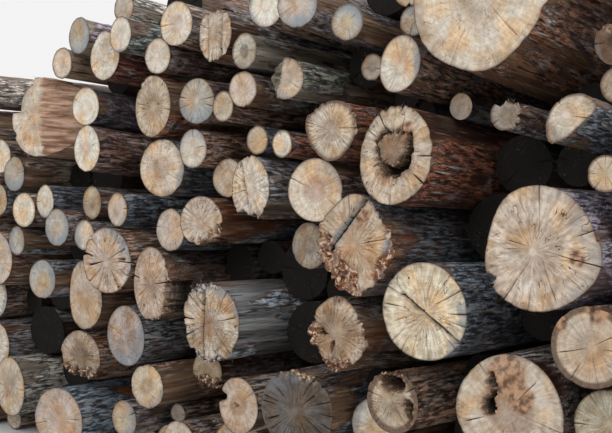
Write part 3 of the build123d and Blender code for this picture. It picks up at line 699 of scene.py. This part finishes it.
def sawn_wood():
    material = bpy.data.materials.new("sawn_wood")
    material.use_nodes = True
    art = Shading(material.node_tree)
    shader = material.node_tree.nodes["Principled BSDF"]
    shader.inputs["Roughness"].default_value = 0.85
    shader.inputs["Specular IOR Level"].default_value = 0.25
    at, pith = art.mark("grain", "Vector"), art.mark("pith", "Vector")
    outward, cracking, decay = art.mark("outward"), art.mark("cracking"), art.mark("decay")
    crumble, sunken, under = art.mark("crumble"), art.mark("sunken"), art.mark("under", "Color")

    # Sound wood: heart and sapwood, yearly rings, saw scratches, dust and weathered patches.
    rings = art.group(growth_rings, At=pith, Spacing=0.006, Unevenness=0.012)
    broad_rings = art.group(growth_rings, At=pith, Spacing=0.022, Unevenness=0.03)
    dirt = art.group(grime, At=at, Amount=art.mark("dirt"))
    scratch = art.noise(art.stretched(at, 5.0, 80.0, 5.0), 1.6)
    each_log = art.add("SeparateXYZ", Vector=pith).outputs["Z"]
    zone = art.noise(art.add("CombineXYZ", X=art.times(outward, 3.0), Y=each_log).outputs[0], 1.7, 1.0)
    tint = art.noise(art.vector("ADD", at, (1.3, 4.1, 0.2)), 9.0, 6.0)
    cloud = art.noise(at, 24.0, 5.0)
    greyed = art.times(art.spread(outward, 0.72, 1.02, 0.0, 0.8),
                       art.spread(art.noise(at, 22.0, 4.0), 0.35, 0.65))
    heartwood = art.times(art.mark("heart_share"), 0.85)
    color = art.mix(heartwood, art.mark("wood", "Color"), art.mark("heart", "Color"))
    color = art.tinted(color, [
        (art.times(rings["Shade"], 0.3), (0.70, 0.61, 0.51)),  # late wood of each year
        (art.times(broad_rings["Shade"], 0.3), (0.84, 0.79, 0.74)),  # years of slow growth
        (art.spread(scratch, 0.5, 0.75, 0.0, 0.45), (0.72, 0.66, 0.58)),  # grooves of the saw
        (art.spread(scratch, 0.44, 0.28, 0.0, 0.5), (1.22, 1.20, 1.16)),  # and the ridges between
        (dirt["Blotch"], (0.62, 0.53, 0.45)),  # dirt
        (art.spread(zone, 0.35, 0.7, 0.0, 0.5), (0.78, 0.74, 0.70)),  # darker zones of rings
        (art.times(rings["Fan"], art.spread(cracking, 0.0, 1.0, 0.15, 0.6)), (0.62, 0.54, 0.46)),  # wood rays
        (art.times(art.spread(rings["Fan"], 0.35, 0.0, 0.0, 0.4), cracking), (1.28, 1.28, 1.26)),
        (art.spread(tint, 0.46, 0.66, 0.0, 0.85), (1.06, 0.85, 0.62)),  # amber patches
        (art.spread(tint, 0.47, 0.36, 0.0, 0.7), (1.02, 1.07, 1.14)),  # cool patches
        (art.spread(art.noise(at, 4.5, 5.0), 0.56, 0.66, 0.0, 0.6), (0.84, 0.66, 0.50)),  # broad tan patches
        (art.spread(cloud, 0.52, 0.66, 0.0, 0.5), (1.2, 1.2, 1.2)),  # raised fibre
        (art.spread(cloud, 0.46, 0.34, 0.0, 0.4), (0.66, 0.60, 0.55)),  # smeared fibre
        (greyed, (0.56, 0.53, 0.50))])  # weathering towards the rim

    # Damp stains, specks, the bark's cut edge, brown rot, and rot that has gone to crumbs.
    stained = art.times(art.mark("stain"), art.spread(art.noise(at, 16.0, 4.0), 0.25, 0.6, 0.55, 1.0))
    cut_bark = art.mix(art.noise(at, 60.0), (0.045, 0.030, 0.022, 1), (0.24, 0.16, 0.11, 1))
    rusty = art.mix(art.spread(art.noise(at, 30.0, 6.0), 0.36, 0.62),
                    (0.085, 0.036, 0.018, 1), (0.46, 0.27, 0.16, 1))
    crumbs = art.noise(at, 62.0, 5.0)
    light_crumbs = art.mix(art.spread(crumbs, 0.52, 0.64), under, (0.62, 0.48, 0.35, 1))
    crumb_color = art.mix(art.spread(crumbs, 0.40, 0.54), (0.045, 0.020, 0.011, 1), light_crumbs)
    crumb_share = art.times(crumble, art.spread(art.noise(at, 26.0, 4.0), 0.28, 0.6, 0.45, 1.0))
    color = art.covered(color, [
        (stained, (0.20, 0.235, 0.265)),  # grey-blue of damp
        (art.times(dirt["Speck"], 0.55), (0.12, 0.085, 0.06)),  # specks of bark and soil
        (art.mark("rim"), cut_bark),
        (art.times(art.mark("brown"), 0.85), rusty),
        (crumb_share, crumb_color)])

    # Hollows and torn wood: long clean fibres where the wood tore, short dark pitted ones where it rotted,
    # and painted shade deep in rotten hollows.
    stretch = art.math("SUBTRACT", 13.0, art.times(decay, 11.5))
    squeeze = art.add("CombineXYZ", X=art.spread(decay, 0.0, 1.0, 0.15, 1.0), Y=1.0, Z=1.0).outputs[0]
    rot = art.group(fibres, At=art.vector("MULTIPLY", at, squeeze), Fineness=55.0, Length=stretch)["Shade"]
    pits = art.times(art.spread(art.noise(at, 28.0, 4.0), 0.42, 0.6, 0.0, 0.6), decay)
    torn_furrow = art.tinted(under, [(1.0, (0.36, 0.27, 0.21))])
    furrow = art.mix(decay, torn_furrow, (0.014, 0.009, 0.006, 1))
    hollow = art.covered(art.mix(rot, furrow, under), [(pits, (0.010, 0.007, 0.005))])
    ray = art.times(rings["Ray"], cracking)
    color = art.covered(color, [
        (sunken, hollow),
        (art.times(art.mark("hollow_shade"), 0.93), (0.004, 0.003, 0.002)),  # painted shade, near black, deep in a rotten hollow
        (ray, (0.05, 0.032, 0.022)),  # fine cracks along the rays
        (art.spread(art.mark("check"), 0.3, 0.75), (0.018, 0.012, 0.009))])  # open checks
    torn_fibres, loose_crumbs = art.times(rot, sunken), art.times(crumbs, crumble)
    height = 0.0
    for relief, strength in ((rings["Shade"], 0.12), (scratch, 0.6), (ray, -0.8), (torn_fibres, 2.5),
                             (art.noise(at, 140.0, 2.0), 0.35), (loose_crumbs, 4.0)):
        height = art.math("MULTIPLY_ADD", relief, strength, height)
    art.finish(shader, color, height, Strength=0.6, Distance=0.004)
    return material


# The bark: rough plates with dark furrows along the trunk, grey and mossy in places, torn off in
# patches by the felling head and the stacking crane, so that reddish inner bark or pale wood shows.

def bark():
    material = bpy.data.materials.new("bark")
    material.use_nodes = True
    art = Shading(material.node_tree)
    shader = material.node_tree.nodes["Principled BSDF"]
    shader.inputs["Roughness"].default_value = 0.5
    shader.inputs["Specular IOR Level"].default_value = 0.55
    at, bare = art.mark("grain", "Vector"), art.mark("bare")
    own_tone, under = art.mark("bark", "Color"), art.mark("under", "Color")

    # Plates and furrows in their bent courses, with flakes, pale lichen, pale loose strips that are also
    # painted highlights, and red inner bark.
    sway = art.add("TexNoise", Vector=at, Scale=14.0).outputs["Color"]
    bent = art.vector("ADD", at, art.stretched(sway, 0.04, 0.04, 0.10))
    plates = art.add("TexVoronoi", {"feature": "DISTANCE_TO_EDGE"},
                     Vector=art.stretched(bent, 40.0, 40.0, 8.0), Scale=1.0).outputs["Distance"]
    seam_off = art.math("SUBTRACT", art.noise(art.stretched(bent, 30.0, 30.0, 4.5), 1.0), 0.5)
    seam = art.spread(art.math("ABSOLUTE", seam_off), 0.0, 0.045, 0.9, 0.0)
    furrow = art.math("MAXIMUM", art.spread(plates, 0.0, 0.14, 0.3, 0.0), seam)
    flake = art.noise(art.stretched(at, 75.0, 75.0, 16.0), 1.0, 5.0)
    strip = art.noise(art.stretched(at, 70.0, 70.0, 6.5), 1.0, 4.0)
    color = art.mix(art.spread(flake, 0.38, 0.64), art.tinted(own_tone, [(1.0, (0.36, 0.33, 0.31))]),
                    art.tinted(own_tone, [(1.0, (3.5, 3.4, 3.3))]))
    shreds_and_highlights = art.spread(art.noise(at, 4.0), 0.44, 0.64, 0.12, 1.0)
    red = art.spread(art.noise(art.vector("ADD", at, (3.7, 1.1, 0.4)), 7.0, 5.0), 0.56, 0.64)
    red_bark = art.mix(art.spread(strip, 0.4, 0.62), (0.060, 0.022, 0.012, 1), (0.31, 0.145, 0.080, 1))
    color = art.covered(color, [
        (art.spread(art.noise(at, 13.0, 6.0), 0.53, 0.66, 0.0, 0.65), (0.36, 0.37, 0.38)),  # pale lichen
        (art.times(art.spread(strip, 0.57, 0.63), shreds_and_highlights), (0.62, 0.56, 0.50)),  # pale loose shreds, partly painted highlights
        (art.spread(strip, 0.40, 0.34, 0.0, 0.85), (0.012, 0.010, 0.010)),  # gaps beside them
        (art.times(red, art.mark("redness")), red_bark),
        (art.times(furrow, 0.7), (0.020, 0.015, 0.013))])  # furrows between the plates

    # Wood laid bare, with its fibres, the torn edge of the bark round it, and rot behind a crumbly end.
    grain = art.group(fibres, At=at, Fineness=90.0, Length=14.0)["Shade"]
    coarse_grain = art.group(fibres, At=at, Fineness=26.0, Length=22.0)["Shade"]
    bare_wood = art.tinted(under, [
        (art.times(grain, 0.6), (0.42, 0.34, 0.26)),
        (art.times(coarse_grain, 0.7), (0.42, 0.37, 0.34)),
        (art.spread(coarse_grain, 0.3, 0.0, 0.0, 0.6), (1.9, 1.9, 1.9))])
    bare_wood = art.covered(bare_wood, [
        (art.spread(strip, 0.41, 0.36, 0.0, 0.85), (0.020, 0.014, 0.012)),
        (art.spread(strip, 0.60, 0.66, 0.0, 0.4), (0.50, 0.47, 0.44))])
    torn_edge = art.times(art.spread(bare, 0.1, 0.45, 0.0, 0.6), art.spread(bare, 0.9, 0.55))
    strands = art.group(fibres, At=at, Fineness=48.0, Length=6.0)["Shade"]
    rotten = art.mix(strands, (0.040, 0.016, 0.008, 1), (0.40, 0.22, 0.13, 1))
    color = art.covered(color, [
        (bare, bare_wood), (torn_edge, (0.10, 0.045, 0.026)), (art.mark("crumble"), rotten)])
    rough_bark = art.math("SUBTRACT", art.math("ADD", flake, strip), furrow)
    kept_bark = art.times(rough_bark, art.math("SUBTRACT", 1.0, bare))
    height = art.math("ADD", kept_bark, art.times(art.times(grain, 0.5), bare))
    art.finish(shader, color, height, Strength=1.0, Distance=0.009)
    return material


wood_and_bark = [sawn_wood(), bark()]


# The stack: every log is one solid of wood in its bark. Here are the ways in which logs differ, then
# the logs from the ground up, each row with the colours and the damage of its ends and its bark.

shown_front = -1.44        # ends further back than this lie hidden behind the others
plain_look = {
    # Colour of the end: how far stains reach in from the rim, stain beside splits, dirt, size of the
    # heart as a share of the end, brown patches as (across, up, radius), and the bark's cut edge.
    "stain_reach": 0.35, "seam_stain": 0.0, "dirt": 0.4, "heart_size": 0.5, "brown": (), "edge": 1.0,
    # Cracks: number, width and depth of the open checks, strength of the fine ones, and splits that
    # run across the end from place to place. Such places are given in radii from the middle.
    "checks": 2, "check_width": 0.003, "check_depth": 0.014, "cracking": 0.5, "seams": (),
    # Relief: waves of the saw, frayed and chipped edges, crumbly sides as (direction, reach), slivers.
    "saw": 0.0015, "jag": 0.004, "chipped": 0.006, "crumbly": (), "splinters": 0,
    # Hollows: rotten (1) or freshly torn (0), the most that a hollow goes in, and a lower second cut.
    "decay": 1.0, "deepest": 0.3, "plate": -1.0, "plate_reach": 0.0,
    # Bark: depth of the furrows, thickness, more bare wood near the end, red inner bark, the wood below.
    "bark_depth": 0.008, "bark_thick": 0.006, "peeled": 0.25, "redness": 0.5, "under": "8a6f58",
}
cream = {"wood": "d9d2c5", "heart": "cbbfb1"}
pale = {"wood": "e1dcd0", "heart": "d5cbbd", "dirt": 0.2}
tan = {"wood": "c2b8ab", "heart": "b0a294"}
pinkish = {"wood": "cbc0b6", "heart": "bbaca1"}
ochre = {"wood": "c2b6a2", "heart": "aea08b"}
blue_stained = {"wood": "b5b2ab", "heart": "b4aa9b", "stain": 0.85, "stain_reach": 0.9}
dull = {"wood": "ada79f", "heart": "877e75", "dirt": 0.9}
# Hidden logs: their front ends lie back in the gaps between other logs and are painted near black as painted
# shade; their back ends keep an ordinary kind.
painted_shade = {"wood": "13110f", "heart": "110f0d", "dirt": 0.5, "stain": 0.0, "edge": 0.0}
ordinary = (cream, cream, pale, tan, pinkish, ochre, blue_stained, dull)
bark_tones = ("6b5a50", "5a4e4a", "75675c", "62656a", "7a6152", "50575e", "625e60")
log_numbers = itertools.count(1)


def like(kind, **changes):
    """An end of one kind, with what differs on this log."""
    return {**kind, **changes}


def lay(node, looks=None):
    """Build the logs of one node; looks says, at the place of an end in metres, what differs there."""
    logs = separate_logs(node)
    ends = [corners[corners[:, 1] < corners[:, 1].min() + 0.15].mean(axis=0) for corners, faces in logs]
    changes = [{} for _ in logs]
    for (x, z), change in (looks or {}).items():
        nearest = min(range(len(ends)), key=lambda k: hypot(ends[k][0] - x, ends[k][2] - z))
        changes[nearest] = change
    points, quads, triangles, is_bark, columns = [], [], [], [], []
    for (corners, faces), change in zip(logs, changes):
        number = next(log_numbers)
        draw = np.random.default_rng(1000 + number)
        look = dict(plain_look, bark=bark_tones[draw.integers(len(bark_tones))],
                    stain=draw.choice([0, 0, 0.4, 0.7]), stain_way=draw.uniform(0, tau),
                    bare=draw.uniform(0.2, 0.55), shown=corners[:, 1].min() < shown_front)
        kind = ordinary[draw.integers(len(ordinary))]
        # A log out of sight in front takes painted_shade: near-black painted shade on its front end.
        look.update(kind if look["shown"] else painted_shade)
        look.update(change)
        log_points, log_quads, log_bark, log_triangles, values = Log(corners, faces, look, number).finished()
        base = sum(len(part) for part in points)
        points.append(log_points)
        quads.append(log_quads + base)
        is_bark.append(log_bark)
        triangles += [tuple(v + base for v in triangle) for triangle in log_triangles]
        at_back = log_points[:, 1] > log_points[:, 1].mean()
        for name in ("wood", "heart", "bark", "under"):
            values[name] = np.tile(tone(look[name]), (len(log_points), 1))
        # A hidden log's front end carries the painted shade of its gap; its back end gets the colours of its
        # ordinary kind.
        if not look["shown"]:
            for name in ("wood", "heart"):
                values[name][at_back] = tone(kind[name])
        for name in ("dirt", "cracking", "redness", "decay"):
            values[name] = np.full(len(log_points), float(look[name]))
        columns.append(values)

    mesh = bpy.data.meshes.new(node)
    mesh.from_pydata(np.concatenate(points).tolist(), [], np.concatenate(quads).tolist() + triangles)
    for material in wood_and_bark:
        mesh.materials.append(material)
    slots = np.concatenate([*is_bark, np.zeros(len(triangles), int)])
    mesh.polygons.foreach_set("material_index", slots.astype(np.int32))
    mesh.polygons.foreach_set("use_smooth", np.ones(len(mesh.polygons), bool))
    forms = {1: ("FLOAT", "value"), 3: ("FLOAT_VECTOR", "vector"), 4: ("FLOAT_COLOR", "color")}
    for name in columns[0]:
        value = np.concatenate([values[name] for values in columns]).astype(np.float32)
        kind, field = forms[value.size // len(value)]
        mesh.attributes.new(name, kind, "POINT").data.foreach_set(field, value.ravel())
    mesh.update()
    name = node.replace("_logs", "_row") if node.endswith("_logs") else node + "_finished"
    piece = bpy.data.objects.new(name, mesh)
    scene.collection.objects.link(piece)
    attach(piece, "root")
    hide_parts(node)


def lay_alone(node, kind, **changes):
    """Build a node that is one log."""
    lay(node, {(0, 0): like(kind, **changes)})


# The bottom row: logs that lie straight on the ground, side by side, and carry all the others.
# Their ends are sawn like the rest, but mostly dusty and dull. One has slate bark with a strip
# peeled off, so that its orange inner bark shows.

lay("floor_left_logs", {(-1.87, 0.07): like(tan, dirt=0.9)})
lay("floor_middle_logs", {(-0.24, 0.23): like(cream, wood="ccc0af", bark="5e5047")})
lay("floor_inner_logs")
lay("floor_right_logs")
lay_alone("strip_barked_log", pinkish, wood="c9b9ac", stain=0.2, checks=6, bark="5d6975", bare=0.3,
          redness=0.2, under="b5763f")


# The left foot of the stack: thick grey-barked butts, each laid in the groove between two logs
# below. They have dried and rotted for long: one has a ragged lower edge, one is two stems grown
# together, and one has weathered grey all over.

lay("left_foot_logs", {(-1.77, 0.3): like(cream, wood="cbc0b1", heart="a49383", checks=14,
          check_width=0.004, bark="817d77", bare=0.5, under="8d867b")})
lay_alone("ragged_bottom_log", tan, wood="b4a89b", heart="887c71", dirt=1.0, checks=7, cracking=1.0,
          saw=0.004, jag=0.012, crumbly=((-1.6, 0.75), (3.6, 0.3)), splinters=14, under="5e4028")
lay("second_middle_logs", {
    (-0.66, 0.76): like(pinkish, wood="bbb1ac", heart="a89b94", dirt=1.0),
    (-0.61, 0.27): like(ochre, check_width=0.009),
    (-0.43, 0.47): like(ochre, wood="cdc1ae", chipped=0.02, bare=0.7)})
lay_alone("two_lobed_log", tan, wood="c4b9aa", heart="ab9a8a", checks=13, check_width=0.007,
          cracking=1.0, seams=(((-0.2, 1.1), (-0.28, -0.85)),), saw=0.003,
          crumbly=((-1.5, 0.35), (1.9, 0.3), (3.0, 0.2)), splinters=26, bark="89939d", bare=0.75,
          under="8f9294")
lay_alone("ragged_plate_log", ochre, wood="b0a28d", dirt=1.0, jag=0.012, crumbly=((-1.6, 0.9),),
          splinters=10, under="5a3a24")
lay_alone("notched_log", tan, wood="c7b8aa", checks=3, jag=0.008, under="4a2f20")
lay_alone("grey_weathered_log", dull, wood="676463", heart="77726e", stain=0.4, checks=18,
          check_width=0.007, cracking=1.0, crumbly=((1.5, 0.35),), splinters=12, bark="484d53",
          redness=0.1)


# The right foot: wide butts of old trees, whose wood had rotted from the heart or from the rim
# before they were felled. The saw laid open their pockets, hollow hearts and thick brown rims.

lay("under_hollow_logs")
lay_alone("rotten_pocket_log", tan, wood="c0b1a2", heart="a99885", heart_size=0.8, dirt=0.9, checks=7,
          cracking=1.0, saw=0.003, jag=0.014, crumbly=((3.3, 0.55), (-1.7, 0.45), (0.2, 0.3)),
          splinters=20, bark="554c45", under="6b3e23")
lay_alone("hollow_rim_log", tan, wood="c0b5a4", heart="b0a492", dirt=0.8, checks=8, cracking=1.0,
          jag=0.01, crumbly=((1.7, 0.3),), splinters=8, bark_thick=0.028, under="5a3520")
lay_alone("hollow_heart_log", cream, wood="d2c7b8", heart="a49182", heart_size=0.62,
          brown=((-0.02, 0.62, 0.42), (0.22, 0.2, 0.3)), checks=6, check_width=0.004, jag=0.013,
          bark="534d49", under="3f2517")
lay("right_foot_logs", {
    (1.96, 0.57): like(ochre, wood="bab4a1", heart="a19582", checks=11, cracking=1.0),
    (1.82, 0.38): like(pale)})
lay_alone("brown_rimmed_log", tan, wood="c5b7a6", brown=((0.2, 0.85, 0.3), (-0.75, 0.5, 0.25)),
          checks=7, bark_thick=0.024, under="6d4c36")
lay("right_slope_logs")


# The middle of the stack: cracked, slabbed and star-checked ends round the widest butt. The wood
# split from the heart outwards as it dried, and some edges were torn off when the trees fell.

lay_alone("torn_side_log", pinkish, wood="c3b3a5", heart="a89485", checks=10, check_width=0.007,
          cracking=1.0, jag=0.012, crumbly=((0.0, 0.35), (-1.4, 0.2)), splinters=16, bark="423836",
          bare=0.55, under="5d4435")
lay_alone("waisted_log", tan, wood="c3b4a4", checks=5, bark="645247")
lay_alone("deep_checked_log", pinkish, wood="c7bbb0", heart="af9f93", checks=13, check_width=0.01,
          check_depth=0.04, cracking=1.0, saw=0.004, crumbly=((3.0, 0.15),), splinters=6)
lay_alone("rot_flank_log", pinkish, wood="c3b6a9", checks=10, cracking=1.0, jag=0.012,
          crumbly=((-1.0, 0.5),), splinters=12, bark="616871", bare=0.6, under="70422b")
lay_alone("broken_end_log", pale, wood="d5cfc5", heart="c2b5a9", checks=11, cracking=1.0,
          seams=(((-0.45, 0.75), (-0.1, -0.65)),), saw=0.004, jag=0.012,
          crumbly=((-1.6, 0.35), (1.7, 0.15)), splinters=16, bark="76777b", bare=0.7, under="857d72")
lay("heartwood_logs", {
    (0.65, 1.41): like(cream, wood="d6cab9", heart="b59d8e", bark="6e5d56"),
    (0.59, 1.18): like(dull, wood="a1978a")})
lay_alone("slabbed_log", ochre, wood="c8baa9", heart="b59f88", heart_size=0.75, stain=0.9,
          stain_way=0.0, stain_reach=0.3, seam_stain=0.75, brown=((0.2, 0.62, 0.2),), checks=8,
          cracking=1.0, seams=(((0.45, 1.1), (-0.62, -0.1)),), saw=0.004, jag=0.012,
          crumbly=((3.9, 0.75), (-0.4, 0.4), (0.6, 0.2)), splinters=30, decay=0.35, bark="5d666e",
          under="8a5236")
lay_alone("star_checked_log", pale, wood="dad1bd", heart="cabca7", stain=0.8, stain_way=-0.2,
          stain_reach=0.22, checks=17, check_width=0.0035, check_depth=0.03, cracking=1.0,
          seams=(((0.95, -0.68), (-0.5, 0.3)),), bark="565e66", redness=0.2)
lay_alone("widest_butt_log", cream, wood="d0c4b7", heart="c0b2a4", stain=0.35, stain_way=0.3, dirt=0.6,
          brown=((0.62, -0.12, 0.17),), checks=11, check_width=0.004, cracking=1.0, jag=0.008,
          crumbly=((0.1, 0.06),), bark="706b79", bare=0.5, under="79696a")
lay("centre_hidden_logs")
lay("recessed_logs", {
    (1.23, 1.73): like(tan),
    (1.55, 1.68): like(dull, wood="9f9891", jag=0.01, chipped=0.015, crumbly=((1.4, 0.5), (0.1, 0.4)),
                       splinters=12)})


# The left side: smaller logs, stacked up to the slope where the stack ends, many with ends stained
# blue-grey by damp, in slate and mauve bark. The big butt among them was cut in two levels, and
# what held it to the stump tore off in long fibres.

lay("left_slope_logs")
lay("left_edge_logs", {(-1.87, 1.06): like(pinkish)})
lay("blue_grey_logs", {
    (-1.63, 1.19): like(blue_stained, dirt=0.8, saw=0.003),
    (-1.33, 1.05): like(blue_stained, heart="b5a68d")})
lay("ochre_logs", {
    (-1.02, 1.45): like(ochre, checks=1),
    (-1.19, 1.3): like(blue_stained),
    (-1.01, 1.24): like(cream)})
lay("left_small_logs", {
    (-1.56, 1.4): like(pale),
    (-1.37, 1.45): like(cream, stain=0.7, stain_way=-1.6, bark="4d525b", bare=0.2, redness=0.1)})
lay("left_upper_logs", {
    (-1.67, 1.63): like(blue_stained),
    (-1.85, 1.73): like(pale),
    (-1.89, 1.5): like(ochre),
    (-2.04, 2.11): like(dull, bark="958d85")})
lay("pinkish_logs", {
    (-0.73, 1.38): like(pinkish, bark="515a64", redness=0.2),
    (-0.3, 1.29): like(pinkish, checks=6),
    (0.02, 1.48): like(cream, wood="c8c0b3")})
lay_alone("pale_round_log", cream, wood="d0c4b5", heart="bcab9d", stain=0.7, stain_way=0.0,
          stain_reach=0.22)
lay("dark_barked_logs", {
    (-1.01, 1.95): like(pale, stain=0, dirt=0.1, checks=1, cracking=0.1, chipped=0.002, bark="413b42",
                        bare=0.12, redness=0.1),
    (-0.96, 1.68): like(pale, heart="cab9ad", stain=0, bark="5e473f", bare=0.45)})
lay_alone("torn_butt_log", cream, wood="d8cec0", heart="cdc1b2", stain=0, checks=1, jag=0.011,
          crumbly=((3.9, 0.12),), splinters=24, decay=0.1, deepest=0.37, plate=0.055,
          plate_reach=-0.08, bark="98785f", bare=0.75, under="cfab93")


# Above the widest butts: a log rotten in a ring round its sound heart, a half of a cleft log, one
# shaped like a shield, and small ends stained by damp, wedged in the grooves between the others.

lay_alone("ring_rot_log", tan, wood="cabeae", heart="816f61", heart_size=0.62,
          brown=((-0.3, -0.4, 0.25), (0.3, 0.5, 0.2)), checks=7, check_width=0.008, cracking=1.0,
          saw=0.003, jag=0.012, crumbly=((1.5, 0.12), (0.0, 0.1)), splinters=10, bark="764937",
          bare=0.45, redness=1.0, under="4c2e1e")
lay_alone("split_half_log", cream, wood="c8beb0", stain=0.35, bark="606972")
lay("right_edge_logs", {
    (1.94, 1.79): like(dull, wood="b1a89c"),
    (1.97, 1.48): like(ochre, wood="cbbeab", checks=9)})
lay_alone("shield_log", tan, wood="c7beb1", heart="a6998c", checks=8, cracking=1.0,
          crumbly=((0.3, 0.25), (2.2, 0.15)), splinters=14, bark="84503a", bark_depth=0.014,
          bark_thick=0.017, redness=1.0)
lay("little_logs", {
    (0.25, 1.92): like(pinkish, wood="cfc3b8"),
    (0.29, 1.65): like(ochre),
    (0.47, 1.63): like(cream, stain=0.8, stain_way=1.6, bark="794f3f", redness=1.0)})
lay("stained_logs", {
    (-0.08, 1.91): like(blue_stained, wood="b3b2ac", heart="b5afa2", checks=12),
    (0.1, 1.8): like(ochre, stain=0.6, checks=3),
    (-0.12, 1.7): like(cream)})
lay_alone("blue_rimmed_log", cream, stain=0.8, stain_way=0.2, stain_reach=0.3)
lay_alone("stepped_log", tan, wood="c9bdac", stain=0.9, stain_way=3.1, jag=0.008, decay=0.4,
          plate=0.0275, plate_reach=1.0, bark="74796e", bare=0.45, under="9d988b")
lay_alone("ring_shake_log", ochre, wood="c5baaa", heart="a5927d", heart_size=0.65, checks=6,
          cracking=1.0, jag=0.006, crumbly=((2.3, 0.15),), bark="764b38", redness=1.0)


# The top of the stack: the great butt with its chipped brown flank, set down last on the right,
# and lighter logs on the left that lie in the grooves of the rows below with nothing on them.

lay_alone("great_butt_log", cream, wood="d5ccbe", heart="c9bdae", stain=0, dirt=0.5, checks=4,
          crumbly=((0.0, 0.1),), splinters=8, bark="74513e", bark_depth=0.016, bare=0.65,
          under="86654a")
lay("right_top_logs", {(1.94, 1.96): like(dull, wood="7d6f63", heart="50443d", dirt=1.0,
          crumbly=((1.6, 0.6), (-0.5, 0.4)))})
lay_alone("scalloped_log", tan, jag=0.006, crumbly=((-0.8, 0.5),), splinters=8, under="5a3b27")
lay("upper_right_logs", {
    (0.83, 2.14): like(blue_stained, heart="b6a68c", bark="45403f"),
    (0.85, 1.97): like(dull, wood="b5ab9e"),
    (1.12, 2.08): like(blue_stained, dirt=1.0)})
lay("top_middle_logs", {
    (0.27, 2.12): like(dull, wood="bdb9ae", bark="98958f", bare=0.9, under="a59d90"),
    (0.42, 2.25): like(pale),
    (0.62, 2.23): like(pinkish)})
lay_alone("splintered_log", tan, wood="c8bdaf", heart="ae9e90", checks=6, cracking=1.0,
          seams=(((-0.4, 1.1), (-0.46, -0.85)), ((0.38, 1.1), (0.3, -0.75))), saw=0.004, jag=0.016,
          chipped=0.015, crumbly=((1.5, 0.4), (-1.2, 0.2)), splinters=18, under="5b4030")
lay("upper_middle_logs", {
    (-0.36, 2.09): like(cream, bark="503f39"),
    (-0.2, 2.26): like(cream, heart="c3b1a4")})
lay_alone("pear_log", cream, stain=0, dirt=0.9, checks=1, bark="613b33", redness=1.0)
lay("top_left_logs", {
    (-0.63, 2.3): like(cream, stain=0.8, stain_way=-1.6, bark="727b77", redness=1.0),
    (-0.7, 2.49): like(tan, bark="a29d95", bare=0.45, under="b0a89c")})
lay("upper_left_logs", {
    (-1.07, 2.4): like(blue_stained, heart="b6a78f", stain_way=-1.0, bark="786d7b", bare=0.55,
                       peeled=0.8, redness=1.0, under="c3b5a2"),
    (-1.2, 2.22): like(cream, wood="d5cabc", bark="98846e", bare=0.9, under="b39c80")})
